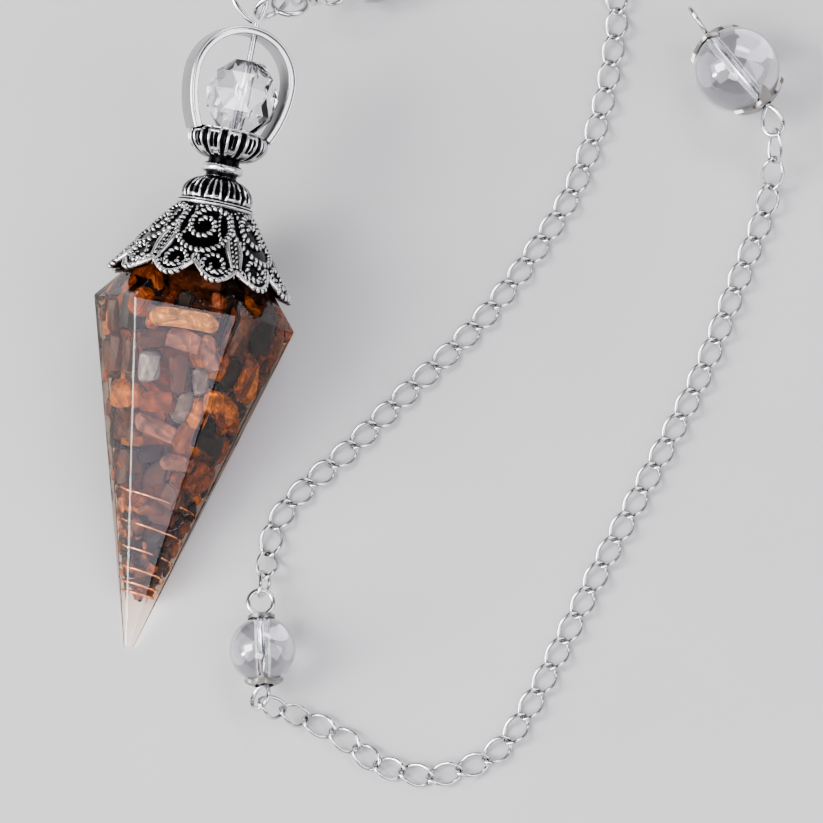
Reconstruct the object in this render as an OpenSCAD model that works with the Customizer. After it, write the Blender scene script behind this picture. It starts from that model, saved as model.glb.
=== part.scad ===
// Pendulum pendant: a resin point full of stone chips under a filigree cap,
// on a curb chain with three clear beads, lying as it rests on a table.
// Millimetres, +Z up. The origin is on the table, under the middle of the facet that the
// point lies on, and +Y runs along the lying pendulum from its tip to its cap.

/* [Resin point] */
// Width across the corners at the girdle
girdle_w = 18.7; // [16:0.1:22]
// Length from the tip to the girdle
point_l = 31; // [26:0.5:38]
// Width across the corners of the small flat at the tip
tip_w = 0.9; // [0.6:0.1:1.6]
// Height of the shoulder above the girdle
shoulder_h = 4.6; // [3.5:0.1:5.5]
// Width across the corners at the top of the shoulder
shoulder_w = 11; // [9:0.1:12]

/* [Chips and coil in the resin] */
// Typical width of a stone chip
chip_w = 4.6; // [4:0.1:5.4]
// Depth of a stone chip, from the facet inwards
chip_t = 2.1; // [1.6:0.1:2.4]
// Clear resin between the outermost chips and the facets
chip_skin = 0.45; // [0.4:0.05:0.8]
// Resin between neighbouring chips
chip_gap = 0.4; // [0.4:0.05:0.7]
// Number of turns of the copper coil
coil_turns = 5.5; // [3:0.5:7]
// Diameter of the copper wire
coil_wire = 0.3; // [0.2:0.05:0.5]
// Station of the coil's lowest turn, from the tip
coil_low = 4.9; // [4.5:0.1:7]
// Length of the coil along the point
coil_l = 9.6; // [6:0.1:12]

/* [Cap] */
// Radius of the cap's scalloped rim
rim_r = 8.8; // [8.2:0.05:9]
// Length of the filigree cone, from the lowest scallop to the collar
cone_h = 7.3; // [6.5:0.1:9]
// Distance from the girdle to the lowest scallop
rim_lift = 2.5; // [2.2:0.1:3]
// Wall of the filigree cone
cone_wall = 1; // [0.7:0.05:1.1]
// Depth of the scallops between two panels
scallop_d = 1.5; // [0.8:0.1:2]
// Wire diameter of the raised scrolls
relief_w = 0.56; // [0.4:0.02:0.7]
// Radius of the collar ring
collar_r = 3.6; // [3.2:0.05:4]
// Radius of the leaf bud above the collar
bud_r = 3.25; // [2.8:0.05:3.5]
// Height of the leaf bud
bud_h = 2.3; // [1.9:0.1:2.6]
// Radius of the ring below the lotus cup
knot_r = 1.95; // [1.7:0.05:2.2]
// Radius of the neck under the lotus cup
neck_r = 1.45; // [1.2:0.05:1.6]
// Widest radius of the lotus cup
cup_r = 3.7; // [3.4:0.05:4]
// Height of the lotus cup
cup_h = 2.7; // [2.4:0.1:3]
// Number of petals round the lotus cup
petals = 12; // [8:2:16]
// Number of leaves round the bud
leaves = 10; // [8:2:12]
// Turn of the cap's panels against the facets of the point, in degrees
cap_turn = -1; // [-30:1:30]

/* [Ring on the cap] */
// Outer radius of the ring
ring_r = 5; // [4.8:0.05:5.4]
// Thickness of the ring's band
band_t = 0.75; // [0.6:0.05:0.9]
// Width of the ring's band
band_w = 3; // [2:0.1:3.2]
// Height of the ring's middle above the cup
ring_lift = 4.7; // [4.5:0.1:5.2]
// Turn of the ring about the pendulum's axis, in degrees
ring_turn = 22; // [0:1:40]

/* [Faceted bead] */
// Diameter of the faceted bead
facet_d = 6.7; // [6:0.1:6.9]
// Length of the faceted bead along its pin
facet_l = 6.4; // [5.5:0.1:7]
// Sideways offset of the bead and its pin inside the ring
pin_shift = 0.5; // [0:0.05:0.5]

/* [Round beads] */
// Diameter of the end bead
end_d = 8; // [7:0.1:10]
// Diameter of the middle bead
mid_d = 6; // [5:0.1:7]
// Diameter of the upper bead
upper_d = 6; // [5:0.1:7]
// Diameter of the bores for the pins
bore_d = 0.9; // [0.8:0.05:1.2]
// Thickness of the bead caps
bead_cap_t = 0.3; // [0.25:0.05:0.5]
// Diameter of the caps' hubs
hub_w = 2.5; // [2.3:0.05:2.8]
// Width of the caps' petals
petal_w = 1.2; // [0.9:0.1:1.5]
// Reach of the end bead's petals over the bead, as an angle from its pole
petal_reach = 40; // [34:1:46]
// Reach of the middle bead's petals over the bead, as an angle from its pole
short_reach = 31; // [28:1:40]
// Diameter of the caps' openings that the round eyes sink into
eye_hole = 1.75; // [1.7:0.05:1.8]
// Diameter of the openings in the end bead's caps
pin_hole = 1; // [0.95:0.05:1.2]

/* [Wire work] */
// Diameter of the straight part of the pins
pin_d = 0.55; // [0.4:0.05:0.7]
// Wire diameter of the eye loops
eye_wire = 0.46; // [0.4:0.02:0.6]
// Outer diameter of the round eyes
eye_d = 2.7; // [2.5:0.1:2.9]
// Length of the end bead's drop-shaped eyes
drop_eye_l = 3.2; // [2.8:0.1:3.5]
// Width of the end bead's drop-shaped eyes
drop_eye_w = 2.7; // [2.4:0.1:3]
// Length of the loop above the ring
hang_l = 5; // [4.5:0.1:5.5]
// Width of the loop above the ring
hang_w = 4.2; // [3.8:0.1:4.4]
// Lean of the loop above the ring, in degrees
hang_lean = 24; // [10:1:30]
// Outer diameter of the jump rings
jump_d = 3.7; // [3.4:0.1:4.2]
// Wire diameter of the jump rings
jump_wire = 0.55; // [0.45:0.05:0.65]

/* [Chain] */
// Distance from one link to the next
pitch = 2.66; // [2.6:0.02:2.8]
// Outer width of a link
link_w = 2.26; // [2:0.02:2.6]
// Wire diameter of a link
link_wire = 0.36; // [0.3:0.02:0.42]
// Twist of each link from end to end, in degrees
link_twist = 90; // [60:5:100]

/* [Fit] */
// Clearance between pieces that fit together
fit = 0.12; // [0.1:0.01:0.15]

/* [Hidden] */

// The chain is laid on the table from the foot of the hanging loop, so its places are taken
// from there. These are the routes of the two long strands between the beads' eyes.
LEFT_ROUTE = [
    [17.5, 17.2], [23.5, 19.7], [29, 18.3], [31.5, 13.7], [31.9, 9.3], [32, 3.9], [31.5, -1.6],
    [30.3, -7.2], [26.6, -16.2], [23.8, -21.4], [19.5, -27.8], [15.1, -34.6], [11.7, -39.2],
    [9.9, -43.6], [10.5, -46.2],
];
RIGHT_ROUTE = [
    [16.2, -59.8], [18.6, -60.3], [21.1, -61.1], [23.3, -62.9], [24.4, -62.3], [27.6, -63.2],
    [31.3, -61.7], [34.4, -59.2], [36.4, -54.3], [38.5, -46.6], [40.6, -38.9], [42.9, -31.1],
    [45.7, -21], [47.6, -10.4], [48.8, -2.9],
];
// Chips that lie under the front facet: sideways place, station, length, width and lean
FRONT_CHIPS = [
    [-0.2, 29.9, 5.2, 1.6, 84], [-2.7, 27.6, 1.9, 1.4, 70], [0.2, 27.8, 2.6, 1.6, 95],
    [2.8, 27.5, 2.6, 1.4, -15], [-2.4, 25.3, 2, 1.8, 0], [0.3, 25.1, 2.5, 2, -10],
    [2.5, 24.6, 1.9, 1.1, -15], [-1, 22.3, 2.3, 2.2, 75], [1.15, 22.4, 2.2, 1, 15],
    [2.4, 22, 2.1, 0.6, 12], [-0.9, 19.7, 2.5, 1.4, 105], [1.6, 19.6, 2.2, 1.1, 20],
    [-1.2, 17.6, 1.8, 1.3, 85], [1.1, 17, 1.7, 1.3, 80],
];
// Centre and heading, in degrees from +X, of each round bead, from the loop's foot
UPPER_PLACE = [8.6, 11.5];
UPPER_HEADING = 38;
MID_PLACE = [11.7, -54.9];
MID_HEADING = -76;
END_PLACE = [43.7, 8.2];
END_HEADING = 139;

steel = "silver";
old_silver = "lightslategray";
clear = [0.85, 0.88, 0.92, 0.7];

// The point lies on one facet, so its axis rises from the table by the facet's own angle
girdle_r = girdle_w / 2;
flat_share = cos(30);
girdle_a = girdle_r * flat_share;
tip_a = tip_w / 2 * flat_share;
lie = atan((girdle_a - tip_a) / point_l);
tip_z = tip_a * cos(lie);
rest_mid = point_l / 2 * cos(lie) + (tip_a + girdle_a) / 2 * sin(lie);

// Stations along the axis, from the tip
rim_s = point_l + rim_lift;
collar_s = rim_s + cone_h;
collar_h = 0.45;
bud_s = collar_s + collar_h;
knot_wire = 0.45;
neck_h = 0.4;
knot_s = bud_s + bud_h + knot_wire + neck_h;
cup_s = knot_s + knot_wire + neck_h;
cup_top = cup_s + cup_h;
ring_s = cup_top + ring_lift;
facet_s = cup_top + fit + facet_l / 2;
side_arc = 11;
pin_seat = 1.6;
hang_wire = 0.5;
hang_s = ring_s + ring_r + hang_wire;

// Vector helpers
function unit(v) = v / norm(v);
function across(ref, along) = unit(ref - (ref * along) * along);
function random(seed, low, high) = rands(low, high, 1, seed)[0];
function flatten(lists) = [for (l = lists) each l];
function lay(p, z) = [p[0], p[1], z];
function heading(angle) = [cos(angle), sin(angle), 0];

// Rings of a swept wire, and the faces that join them
function wire_ring(p, along, ref, r, sides) =
    let (n = across(ref, along), b = cross(along, n))
    [for (k = [0:sides - 1]) p + r * (n * cos(360 * k / sides) + b * sin(360 * k / sides))];
function side_faces(first, next, sides) =
    [for (k = [0:sides - 1])
        let (j = (k + 1) % sides)
        each [[first + k, next + k, next + j], [first + k, next + j, first + j]]];
function tube_faces(rings, sides, closed, start = 0) =
    let (last = start + (rings - 1) * sides)
    concat(
        [for (i = [0:rings - 2]) each side_faces(start + i * sides, start + (i + 1) * sides, sides)],
        closed
            ? side_faces(last, start, sides)
            : [[for (k = [0:sides - 1]) start + k], [for (k = [sides - 1:-1:0]) last + k]]
    );
function tangent(path, i, closed) =
    let (n = len(path), before = closed ? (i + n - 1) % n : max(i - 1, 0))
    let (after = closed ? (i + 1) % n : min(i + 1, n - 1))
    unit(path[after] - path[before]);

// Several swept wires as one body: each has its path and the direction its first side faces
module wires(paths, refs, r, sides, closed) {
    counts = [for (p = paths) len(p) * sides];
    starts = [for (i = 0, s = 0; i < len(paths); s = s + counts[i], i = i + 1) s];
    points = [for (j = [0:len(paths) - 1]) each [for (i = [0:len(paths[j]) - 1])
        each wire_ring(paths[j][i], tangent(paths[j], i, closed), refs[j][i], r, sides)]];
    faces = [for (j = [0:len(paths) - 1]) each tube_faces(len(paths[j]), sides, closed, starts[j])];
    polyhedron(points, faces, convexity = 10);
}

// Moves children from the table to a station of the lying pendulum, with local Z along its axis
module on_axis(station = 0) {
    translate([0, -rest_mid, tip_z])
        rotate([lie - 90, 0, 0])
            translate([0, 0, station])
                children();
}
function axis_place(p) =
    [p[0], -rest_mid + p[2] * cos(lie) + p[1] * sin(lie), tip_z + p[2] * sin(lie) - p[1] * cos(lie)];
loop_foot = axis_place([pin_shift, 0, hang_s]);
function from_loop(p) = [loop_foot[0] + p[0], loop_foot[1] + p[1]];
upper_place = from_loop(UPPER_PLACE);
mid_place = from_loop(MID_PLACE);
end_place = from_loop(END_PLACE);

// Resin point: a hexagonal point and its shoulder, cut facet by facet
shoulder_lean = atan((girdle_w - shoulder_w) / 2 * flat_share / shoulder_h);
module point_body() {
    cylinder(r1 = tip_w / 2, r2 = girdle_r, h = point_l, $fn = 6);
    translate([0, 0, point_l])
        cylinder(r1 = girdle_r, r2 = shoulder_w / 2, h = shoulder_h, $fn = 6);
}

// Distance from the axis to a facet at a station
function facet_reach(station) =
    station < point_l
        ? tip_a + station * tan(lie)
        : girdle_a - (station - point_l) * tan(shoulder_lean);

// Copper coil: turns that grow with the point and open towards the cap
coil_clear = 0.5;
coil_steps = 8;
function coil_station(turn) =
    let (t = turn / coil_turns)
    coil_low + coil_l * (0.25 * t + 0.75 * t * t);
function coil_r(station) = facet_reach(station) - coil_clear;
coil_path = [for (i = [0:coil_turns * coil_steps])
    let (turn = i / coil_steps, s = coil_station(turn))
    [coil_r(s) * cos(-360 * turn), coil_r(s) * sin(-360 * turn), s]];
coil_refs = [for (p = coil_path) [p[0], p[1], 0]];

// Stone chips: layers of chips that lie flush under the facets, each inside a cell of its own.
// The front facet has chips of its own, and a few large ones fill the core.
chip_low = coil_low + 0.9;
chip_high = point_l + shoulder_h - 0.3;
coil_end = coil_low + coil_l + 1;
chip_sides = 5;
chip_shape = [[-1, 0.85], [1, 0.75]];
front_facet = 4;
core_low = 0.6 * point_l;
function layer_h(station) = chip_w * (0.5 + 0.3 * min(station / point_l, 1));
layers = [for (i = 0, s = chip_high - layer_h(chip_high) / 2; s > chip_low;
    s = s - layer_h(s), i = i + 1) [i, s]];
function facet_lean(station) = station < point_l ? lie : -shoulder_lean;
function chip_reach(station, t) =
    facet_reach(station) - (chip_skin + t / 2) / cos(facet_lean(station));

// A chip is its middle, the heading and lean of its facet, its turn, half sizes and a seed
function chip_spread(a, b) = max([for (row = chip_shape) a * abs(row[0]) + b * row[1]]);
function cell_chip(seed, middle, angle, lean, h, half, depth) =
    let (
        turn = (half > h ? 90 : 0) + random(seed, -20, 20),
        slim = min(0.95, min(h, half) / max(h, half) * random(seed + 1, 0.95, 1.15)),
        tall = chip_spread(abs(cos(turn)), slim * abs(sin(turn))),
        wide = chip_spread(abs(sin(turn)), slim * abs(cos(turn))),
        size = min(h / tall, half / wide)
    )
    [middle, angle, lean, turn, size, slim * size, depth, seed];
function facet_chips(layer, station, facet) =
    let (
        angle = 30 + 60 * facet,
        r = chip_reach(station, chip_t),
        w = 2 * r * tan(30) - 2 * chip_gap,
        m = max(1, round(w / (0.72 * chip_w))),
        h = (layer_h(station) - chip_gap) / 2
    )
    [for (k = [0:m - 1])
        let (x = w * ((k + 0.5) / m - 0.5))
        cell_chip(
            29 * layer + 4 * facet + k,
            [r * cos(angle) - x * sin(angle), r * sin(angle) + x * cos(angle), station],
            angle, facet_lean(station), h, w / m / 2 - chip_gap / 2, chip_t / 2
        )];
function layer_chips(layer, station) =
    let (
        h = (layer_h(station) - chip_gap) / 2,
        inner = cos(180 / coil_steps) * coil_r(max(station - h, coil_low)) - coil_wire / 2 - 4 * fit,
        core = facet_reach(station - h) - chip_skin - chip_t - 2 * chip_gap
    )
    station < coil_end
        ? [cell_chip(layer, [0, 0, station], 30 * layer, 0, h, inner, inner)]
        : concat(
            flatten([for (facet = [0:5])
                if (station > point_l || facet != front_facet) facet_chips(layer, station, facet)]),
            station > core_low && station < point_l
                ? [cell_chip(layer, [0, 0, station], 30 * layer, 0, h, core, core)]
                : []
        );
function front_chip(i) =
    let (row = FRONT_CHIPS[i], r = chip_reach(row[1], chip_t))
    [[row[0], -r, row[1]], 30 + 60 * front_facet, lie, row[4],
        row[2] / 2, row[3] / 2, chip_t / 2 - chip_gap / 4, 60 + i];
chips = concat(
    flatten([for (l = layers) layer_chips(l[0], l[1])]),
    [for (i = [0:len(FRONT_CHIPS) - 1]) front_chip(i)]
);
function chip_rings(chip, grow) =
    let (
        side = heading(chip[1] + 90),
        out = cos(chip[2]) * heading(chip[1]) - [0, 0, sin(chip[2])],
        up = cross(out, side),
        along = sin(chip[3]) * side + cos(chip[3]) * up,
        beside = cross(out, along)
    )
    [for (row = chip_shape) each [for (k = [0:chip_sides - 1])
        let (
            a = 360 * (k + 0.25 * row[0]) / chip_sides,
            rough = random(chip[7] + 5 * k + row[0], 0.85, 1)
        )
        chip[0]
            + along * (chip[4] * row[0] + grow * sign(row[0]))
            + beside * cos(a) * (chip[5] * row[1] * rough + grow)
            + out * sin(a) * (chip[6] * row[1] * rough + grow)]];
module chip_bodies(grow) {
    rings = len(chip_shape);
    polyhedron(
        [for (c = chips) each chip_rings(c, grow)],
        [for (i = [0:len(chips) - 1]) each tube_faces(rings, chip_sides, false, i * rings * chip_sides)],
        convexity = 20
    );
}

module resin_point() {
    color("sienna", 0.6)
        on_axis()
            difference() {
                point_body();
                chip_bodies(fit);
                wires([coil_path], [coil_refs], coil_wire / 2 + fit, 5, false);
            }
}

module stone_chips() {
    color("saddlebrown")
        on_axis()
            chip_bodies(0);
}

module copper_coil() {
    color("coral")
        on_axis()
            wires([coil_path], [coil_refs], coil_wire / 2, 5, false);
}

// Filigree cone: a thin shell of revolution with a scalloped lip
panel_count = 6;
cone_steps = 36;
lip_r = 0.24;
top_wall = 1.1;
core_r = 1.2;
function cone_r(s) = rim_r - lip_r + (collar_r - 0.25 - rim_r) * (s - rim_s) / cone_h;
function rim_station(angle) =
    let (t = abs(sin(angle * panel_count)), border = abs(sin(angle * panel_count / 2)))
    rim_s + scallop_d * (1 - t) * (0.75 + 0.25 * border);
function cone_point(angle, s, lift) = [(cone_r(s) + lift) * cos(angle), (cone_r(s) + lift) * sin(angle), s];
function cone_section(angle) =
    let (s = rim_station(angle), high = collar_s + collar_h / 2)
    [
        cone_point(angle, s + 0.15, -cone_wall),
        cone_point(angle, s, -cone_wall / 2),
        cone_point(angle, s + 0.05, lip_r),
        cone_point(angle, s + 0.45, lip_r),
        cone_point(angle, s + 0.7, 0),
        cone_point(angle, high, 0),
        [core_r * cos(angle), core_r * sin(angle), high],
        [core_r * cos(angle), core_r * sin(angle), collar_s - top_wall],
        cone_point(angle, collar_s - top_wall, -cone_wall),
    ];
module cone_shell() {
    rows = len(cone_section(0));
    polyhedron(
        [for (i = [0:cone_steps - 1]) each cone_section(-360 * i / cone_steps)],
        tube_faces(cone_steps, rows, true),
        convexity = 10
    );
}

// Raised scrolls: one large and two small on each panel, with a stem between panels. A scroll
// is its place on the panel, its turns, and its radius along the wire.
panel_angle = 360 / panel_count;
big_radii = [[0, 2.4], [0.26, 2.25], [0.48, 1.3], [0.78, 1.1], [1, 0.5]];
small_radii = [[0, 1.4], [0.38, 1.25], [0.65, 0.8], [1, 0.45]];
big_scroll = [0, 0.7, 2, big_radii];
small_scrolls = [[-2, 0.25, 1.5, small_radii], [2, 0.25, 1.5, small_radii]];
scroll_start = 170;
scroll_lift = 0.04;
function on_panel(centre, x, s) =
    let (r = cone_r(s))
    cone_point(centre + x / r * 180 / PI, s, scroll_lift);
function scroll_path(centre, spec, steps) =
    let (way = spec[0] > 0 ? -1 : 1)
    [for (i = [0:steps])
        let (a = scroll_start + 360 * spec[2] * i / steps, r = lookup(i / steps, spec[3]))
        on_panel(centre, spec[0] + way * r * cos(a), rim_s + spec[1] * cone_h + r * sin(a))];
function cone_normal(p) = unit(unit([p[0], p[1], 0]) + [0, 0, (rim_r - collar_r) / cone_h]);
module scrolls(paths) {
    wires(paths, [for (path = paths) [for (p = path) cone_normal(p)]], relief_w / 2, 3, false);
}
module relief() {
    centres = [for (k = [0:panel_count - 1]) -90 + panel_angle * k];
    scrolls([for (c = centres) scroll_path(c, big_scroll, 12)]);
    for (spec = small_scrolls)
        scrolls([for (c = centres) scroll_path(c, spec, 8)]);
    for (c = centres)
        for (side = [-1, 1])
            leaf(c + panel_angle / 2, side);
}

// Leaves between two panels: a pair lies along the slope of each border
leaf_x = 0.5;
leaf_share = 0.42;
leaf_half = [0.36, 0.42, 1.7];
cone_lean = atan((rim_r - collar_r) / cone_h);
module leaf(centre, side) {
    s = rim_s + leaf_share * cone_h;
    rotate([0, 0, centre + side * leaf_x / cone_r(s) * 180 / PI])
        translate([cone_r(s), 0, s])
            rotate([0, -cone_lean, 0])
                scale(leaf_half)
                    sphere(r = 1, $fn = 6);
}

// The whole cone, held to its size across the scallops
rim_span = 2 * rim_r * cos(panel_angle / 4);
module filigree() {
    resize([rim_span, rim_span, 0]) {
        cone_shell();
        relief();
    }
}

// Cast stem: collar, leaf bud, ring, neck and lotus cup as one turned profile
stem_profile = [
    [0, collar_s - top_wall / 2],
    [collar_r - 0.4, collar_s - top_wall / 2],
    [collar_r, collar_s + 0.1],
    [collar_r, collar_s + collar_h - 0.15],
    [collar_r - 0.25, collar_s + collar_h],
    [bud_r - 0.2, bud_s + 0.05],
    [bud_r - 0.15, bud_s + 0.35 * bud_h],
    [0.75 * bud_r, bud_s + 0.75 * bud_h],
    [neck_r, bud_s + bud_h],
    [neck_r, cup_s],
    [0.6 * cup_r, cup_s + 0.1 * cup_h],
    [0.93 * cup_r, cup_s + 0.55 * cup_h],
    [0.9 * cup_r, cup_s + 0.8 * cup_h],
    [0.84 * cup_r, cup_top],
    [0, cup_top],
];
bud_leaf = [
    [neck_r, bud_s + 0.02],
    [bud_r, bud_s + 0.02],
    [bud_r + 0.05, bud_s + 0.35 * bud_h],
    [0.8 * bud_r, bud_s + 0.8 * bud_h],
    [neck_r, bud_s + 0.95 * bud_h],
];
cup_petal = [
    [neck_r - 0.2, cup_s + 0.05 * cup_h],
    [0.65 * cup_r, cup_s + 0.05 * cup_h],
    [cup_r, cup_s + 0.5 * cup_h],
    [0.98 * cup_r, cup_s + 0.85 * cup_h],
    [neck_r, cup_s + 0.9 * cup_h],
];
module turned_ribs(count, profile, share) {
    for (k = [0:count - 1])
        rotate([0, 0, 360 / count * (k - share / 2)])
            rotate_extrude(angle = 360 / count * share, $fn = 48)
                polygon(profile);
}

// Ring: a flat band bent to an arch that stands on the cup. Its feet draw in along wider arcs.
band_sink = 0.3;
arch_steps = 18;
foot_steps = 5;
side_angle = asin((ring_lift + band_sink) / (side_arc - band_t / 2));
function arch_line(inset) = concat(
    [for (i = [0:foot_steps - 1])
        let (a = side_angle * (i / foot_steps - 1))
        [ring_r - side_arc + (side_arc - inset) * cos(a), (side_arc - inset) * sin(a)]],
    [for (i = [0:arch_steps])
        (ring_r - inset) * [cos(180 * i / arch_steps), sin(180 * i / arch_steps)]],
    [for (i = [foot_steps - 1:-1:0])
        let (a = side_angle * (i / foot_steps - 1))
        [side_arc - ring_r - (side_arc - inset) * cos(a), (side_arc - inset) * sin(a)]]
);
module ring_band() {
    inner = arch_line(band_t);
    rotate([90, 0, 0])
        linear_extrude(band_w, center = true)
            polygon(concat(arch_line(0), [for (i = [len(inner) - 1:-1:0]) inner[i]]));
}

module cap() {
    color(old_silver)
        on_axis()
            rotate([0, 0, cap_turn])
                difference() {
                    union() {
                        filigree();
                        rotate_extrude($fn = 64)
                            polygon(stem_profile);
                        turned_ribs(leaves, bud_leaf, 0.7);
                        turned_ribs(petals, cup_petal, 0.7);
                        translate([0, 0, knot_s])
                            rotate_extrude($fn = 48)
                                translate([knot_r - knot_wire, 0])
                                    circle(r = knot_wire, $fn = 24);
                        translate([0, 0, ring_s])
                            rotate([0, 0, ring_turn - cap_turn])
                                ring_band();
                    }
                    rotate([0, 0, -cap_turn])
                        translate([pin_shift, 0, cup_top - pin_seat])
                            cylinder(d = pin_d + 2 * fit, h = 3 * ring_r, $fn = 32);
                }
}

// Faceted bead: rows of flat facets between two small tables
facet_sides = 8;
facet_rows = [[-1, 0.5, 0], [-0.5, 0.93, 0.5], [0.08, 1, 0], [0.6, 0.84, 0.5], [1, 0.45, 0]];
function facet_row(row) =
    [for (k = [0:facet_sides - 1])
        let (a = 360 / facet_sides * (k + row[2]), r = facet_d / 2 * row[1])
        [r * cos(a), r * sin(a), facet_l / 2 * row[0]]];
module faceted_bead() {
    color(clear)
        on_axis(facet_s)
            translate([pin_shift, 0, 0])
                difference() {
                    hull()
                        polyhedron(
                            [for (row = facet_rows) each facet_row(row)],
                            tube_faces(len(facet_rows), facet_sides, false)
                        );
                    translate([0, 0, -facet_l])
                        cylinder(d = bore_d, h = 2 * facet_l, $fn = 32);
                }
}

// Drop-shaped loop of wire: starts at the origin, runs along local X, lies in the XY plane
loop_steps = 12;
loop_gap = 24;
loop_knot = 1.5;
function loop_point(l, w, t) = [l * (1 - cos(t)) / 2, w / 2 * sin(t) * pow(sin(t / 2), 0.6), 0];
module drop_loop(l, w, wire) {
    path = [for (i = [0:loop_steps])
        loop_point(l - wire / 2, w - wire, loop_gap + (360 - 2 * loop_gap) * i / loop_steps)];
    wires([path], [[for (p = path) [0, 0, 1]]], wire / 2, 5, false);
    sphere(d = loop_knot * wire, $fn = 24);
}

module hanging_pin() {
    color(steel)
        on_axis()
            translate([pin_shift, 0, 0]) {
                translate([0, 0, cup_top - pin_seat + fit])
                    cylinder(d = pin_d, h = hang_s - cup_top + pin_seat - fit, $fn = 24);
                translate([0, 0, hang_s])
                    rotate([0, -90 - hang_lean, 0])
                        rotate([90, 0, 0])
                            drop_loop(hang_l, hang_w, hang_wire);
            }
}

// Jump rings: each is named by its centre, from the loop's foot, and its normal
upper_jump = [loop_foot + [0.9, 2.07, -0.36], [-0.65, 0.87, -0.17]];
lower_jump = [loop_foot + [2.4, 3.09, -1.68], [-0.09, 0.83, 1.37]];
module round_ring(spec) {
    n = unit(spec[1]);
    translate(spec[0])
        rotate([0, acos(n[2]), atan2(n[1], n[0])])
            rotate_extrude($fn = 48)
                translate([(jump_d - jump_wire) / 2, 0])
                    circle(d = jump_wire, $fn = 20);
}
module jump_ring_upper() {
    color(steel)
        round_ring(upper_jump);
}
module jump_ring_lower() {
    color(steel)
        round_ring(lower_jump);
}

// Round beads on eye pins: each bead lies on the table with its pin level
module at_bead(place, angle, d) {
    translate([place[0], place[1], d / 2])
        rotate([0, 0, angle])
            children();
}
module round_bead(d) {
    rotate([0, 90, 0])
        difference() {
            sphere(d = d, $fn = 64);
            translate([0, 0, -d])
                cylinder(d = bore_d, h = 2 * d, $fn = 24);
        }
}

// Domed cap over one pole of a bead: a hub, and petals where the cap has them
function petal_outline(rim) = [
    [0, -0.3 * petal_w],
    [0.5 * rim, -0.5 * petal_w],
    [0.8 * rim, -0.34 * petal_w],
    [rim, 0],
    [0.8 * rim, 0.34 * petal_w],
    [0.5 * rim, 0.5 * petal_w],
    [0, 0.3 * petal_w],
];
module bead_cap(d, hole, reach, lobes) {
    inner = d / 2 + fit;
    outer = inner + bead_cap_t;
    rotate([0, 90, 0])
        difference() {
            intersection() {
                sphere(r = outer, $fn = 64);
                union() {
                    cylinder(d = hub_w, h = d, $fn = 48);
                    for (k = [0:1:lobes - 1])
                        rotate([0, 0, 360 / lobes * k])
                            linear_extrude(d)
                                polygon(petal_outline(outer * sin(reach)));
                }
            }
            sphere(r = inner, $fn = 64);
            cylinder(d = hole, h = d, $fn = 24);
        }
}

// An eye is its heading, its roll about its length, and its lean from the pin's heading
UPPER_IN_EYE = [UPPER_HEADING + 180, 0, 0];
UPPER_OUT_EYE = [UPPER_HEADING, 0, 0];
MID_IN_EYE = [MID_HEADING + 180, 0, 0];
MID_OUT_EYE = [MID_HEADING, 50, -20];
END_IN_EYE = [END_HEADING + 180, 20, -24];
END_OUT_EYE = [END_HEADING, 75, -7];
eye_r = (eye_d - eye_wire) / 2;
function round_start(d) = d / 2 + fit + eye_wire / 2;
function drop_start(d) = d / 2 + 2 * fit + bead_cap_t;
function eye_side(eye) =
    cos(eye[1]) * heading(eye[0] + eye[2] + 90) + [0, 0, sin(eye[1])];
function round_point(place, d, eye, a) =
    lay(place, d / 2) + round_start(d) * heading(eye[0])
        + eye_r * (1 + cos(a)) * heading(eye[0] + eye[2])
        + eye_r * sin(a) * eye_side(eye);
function drop_point(place, d, eye) =
    lay(place, d / 2) + drop_start(d) * heading(eye[0])
        + (drop_eye_l - eye_wire / 2) * heading(eye[0] + eye[2]);
module at_eye(start, eye, angle) {
    rotate([0, 0, eye[0] - angle])
        translate([start, 0, 0])
            rotate([0, 0, eye[2]])
                rotate([eye[1], 0, 0])
                    children();
}
module pin_shaft(start) {
    rotate([0, 90, 0])
        translate([0, 0, -start])
            cylinder(d = pin_d, h = 2 * start, $fn = 24);
}
module round_eye_pin(d, angle, eyes) {
    pin_shaft(round_start(d));
    for (eye = eyes)
        at_eye(round_start(d), eye, angle)
            translate([eye_r, 0, 0])
                rotate_extrude($fn = 48)
                    translate([eye_r, 0])
                        circle(d = eye_wire, $fn = 20);
}
module drop_eye_pin(d, angle, eyes) {
    pin_shaft(drop_start(d));
    for (eye = eyes)
        at_eye(drop_start(d), eye, angle)
            drop_loop(drop_eye_l, drop_eye_w, eye_wire);
}

module upper_bead() { color(clear) at_bead(upper_place, UPPER_HEADING, upper_d) round_bead(upper_d); }
module mid_bead() { color(clear) at_bead(mid_place, MID_HEADING, mid_d) round_bead(mid_d); }
module end_bead() { color(clear) at_bead(end_place, END_HEADING, end_d) round_bead(end_d); }
module upper_cap_in() {
    color(steel)
        at_bead(upper_place, UPPER_HEADING + 180, upper_d)
            bead_cap(upper_d, eye_hole, 0, 0);
}
module upper_cap_out() {
    color(steel)
        at_bead(upper_place, UPPER_HEADING, upper_d)
            bead_cap(upper_d, eye_hole, 0, 0);
}
module mid_cap_in() {
    color(steel)
        at_bead(mid_place, MID_HEADING + 180, mid_d)
            bead_cap(mid_d, eye_hole, 0, 0);
}
module mid_cap_out() {
    color(steel)
        at_bead(mid_place, MID_HEADING, mid_d)
            bead_cap(mid_d, eye_hole, short_reach, 4);
}
module end_cap_in() {
    color(steel)
        at_bead(end_place, END_HEADING + 180, end_d)
            bead_cap(end_d, pin_hole, petal_reach, 4);
}
module end_cap_out() {
    color(steel)
        at_bead(end_place, END_HEADING, end_d)
            bead_cap(end_d, pin_hole, petal_reach, 4);
}
module upper_pin() {
    color(steel)
        at_bead(upper_place, UPPER_HEADING, upper_d)
            round_eye_pin(upper_d, UPPER_HEADING, [UPPER_IN_EYE, UPPER_OUT_EYE]);
}
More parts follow.
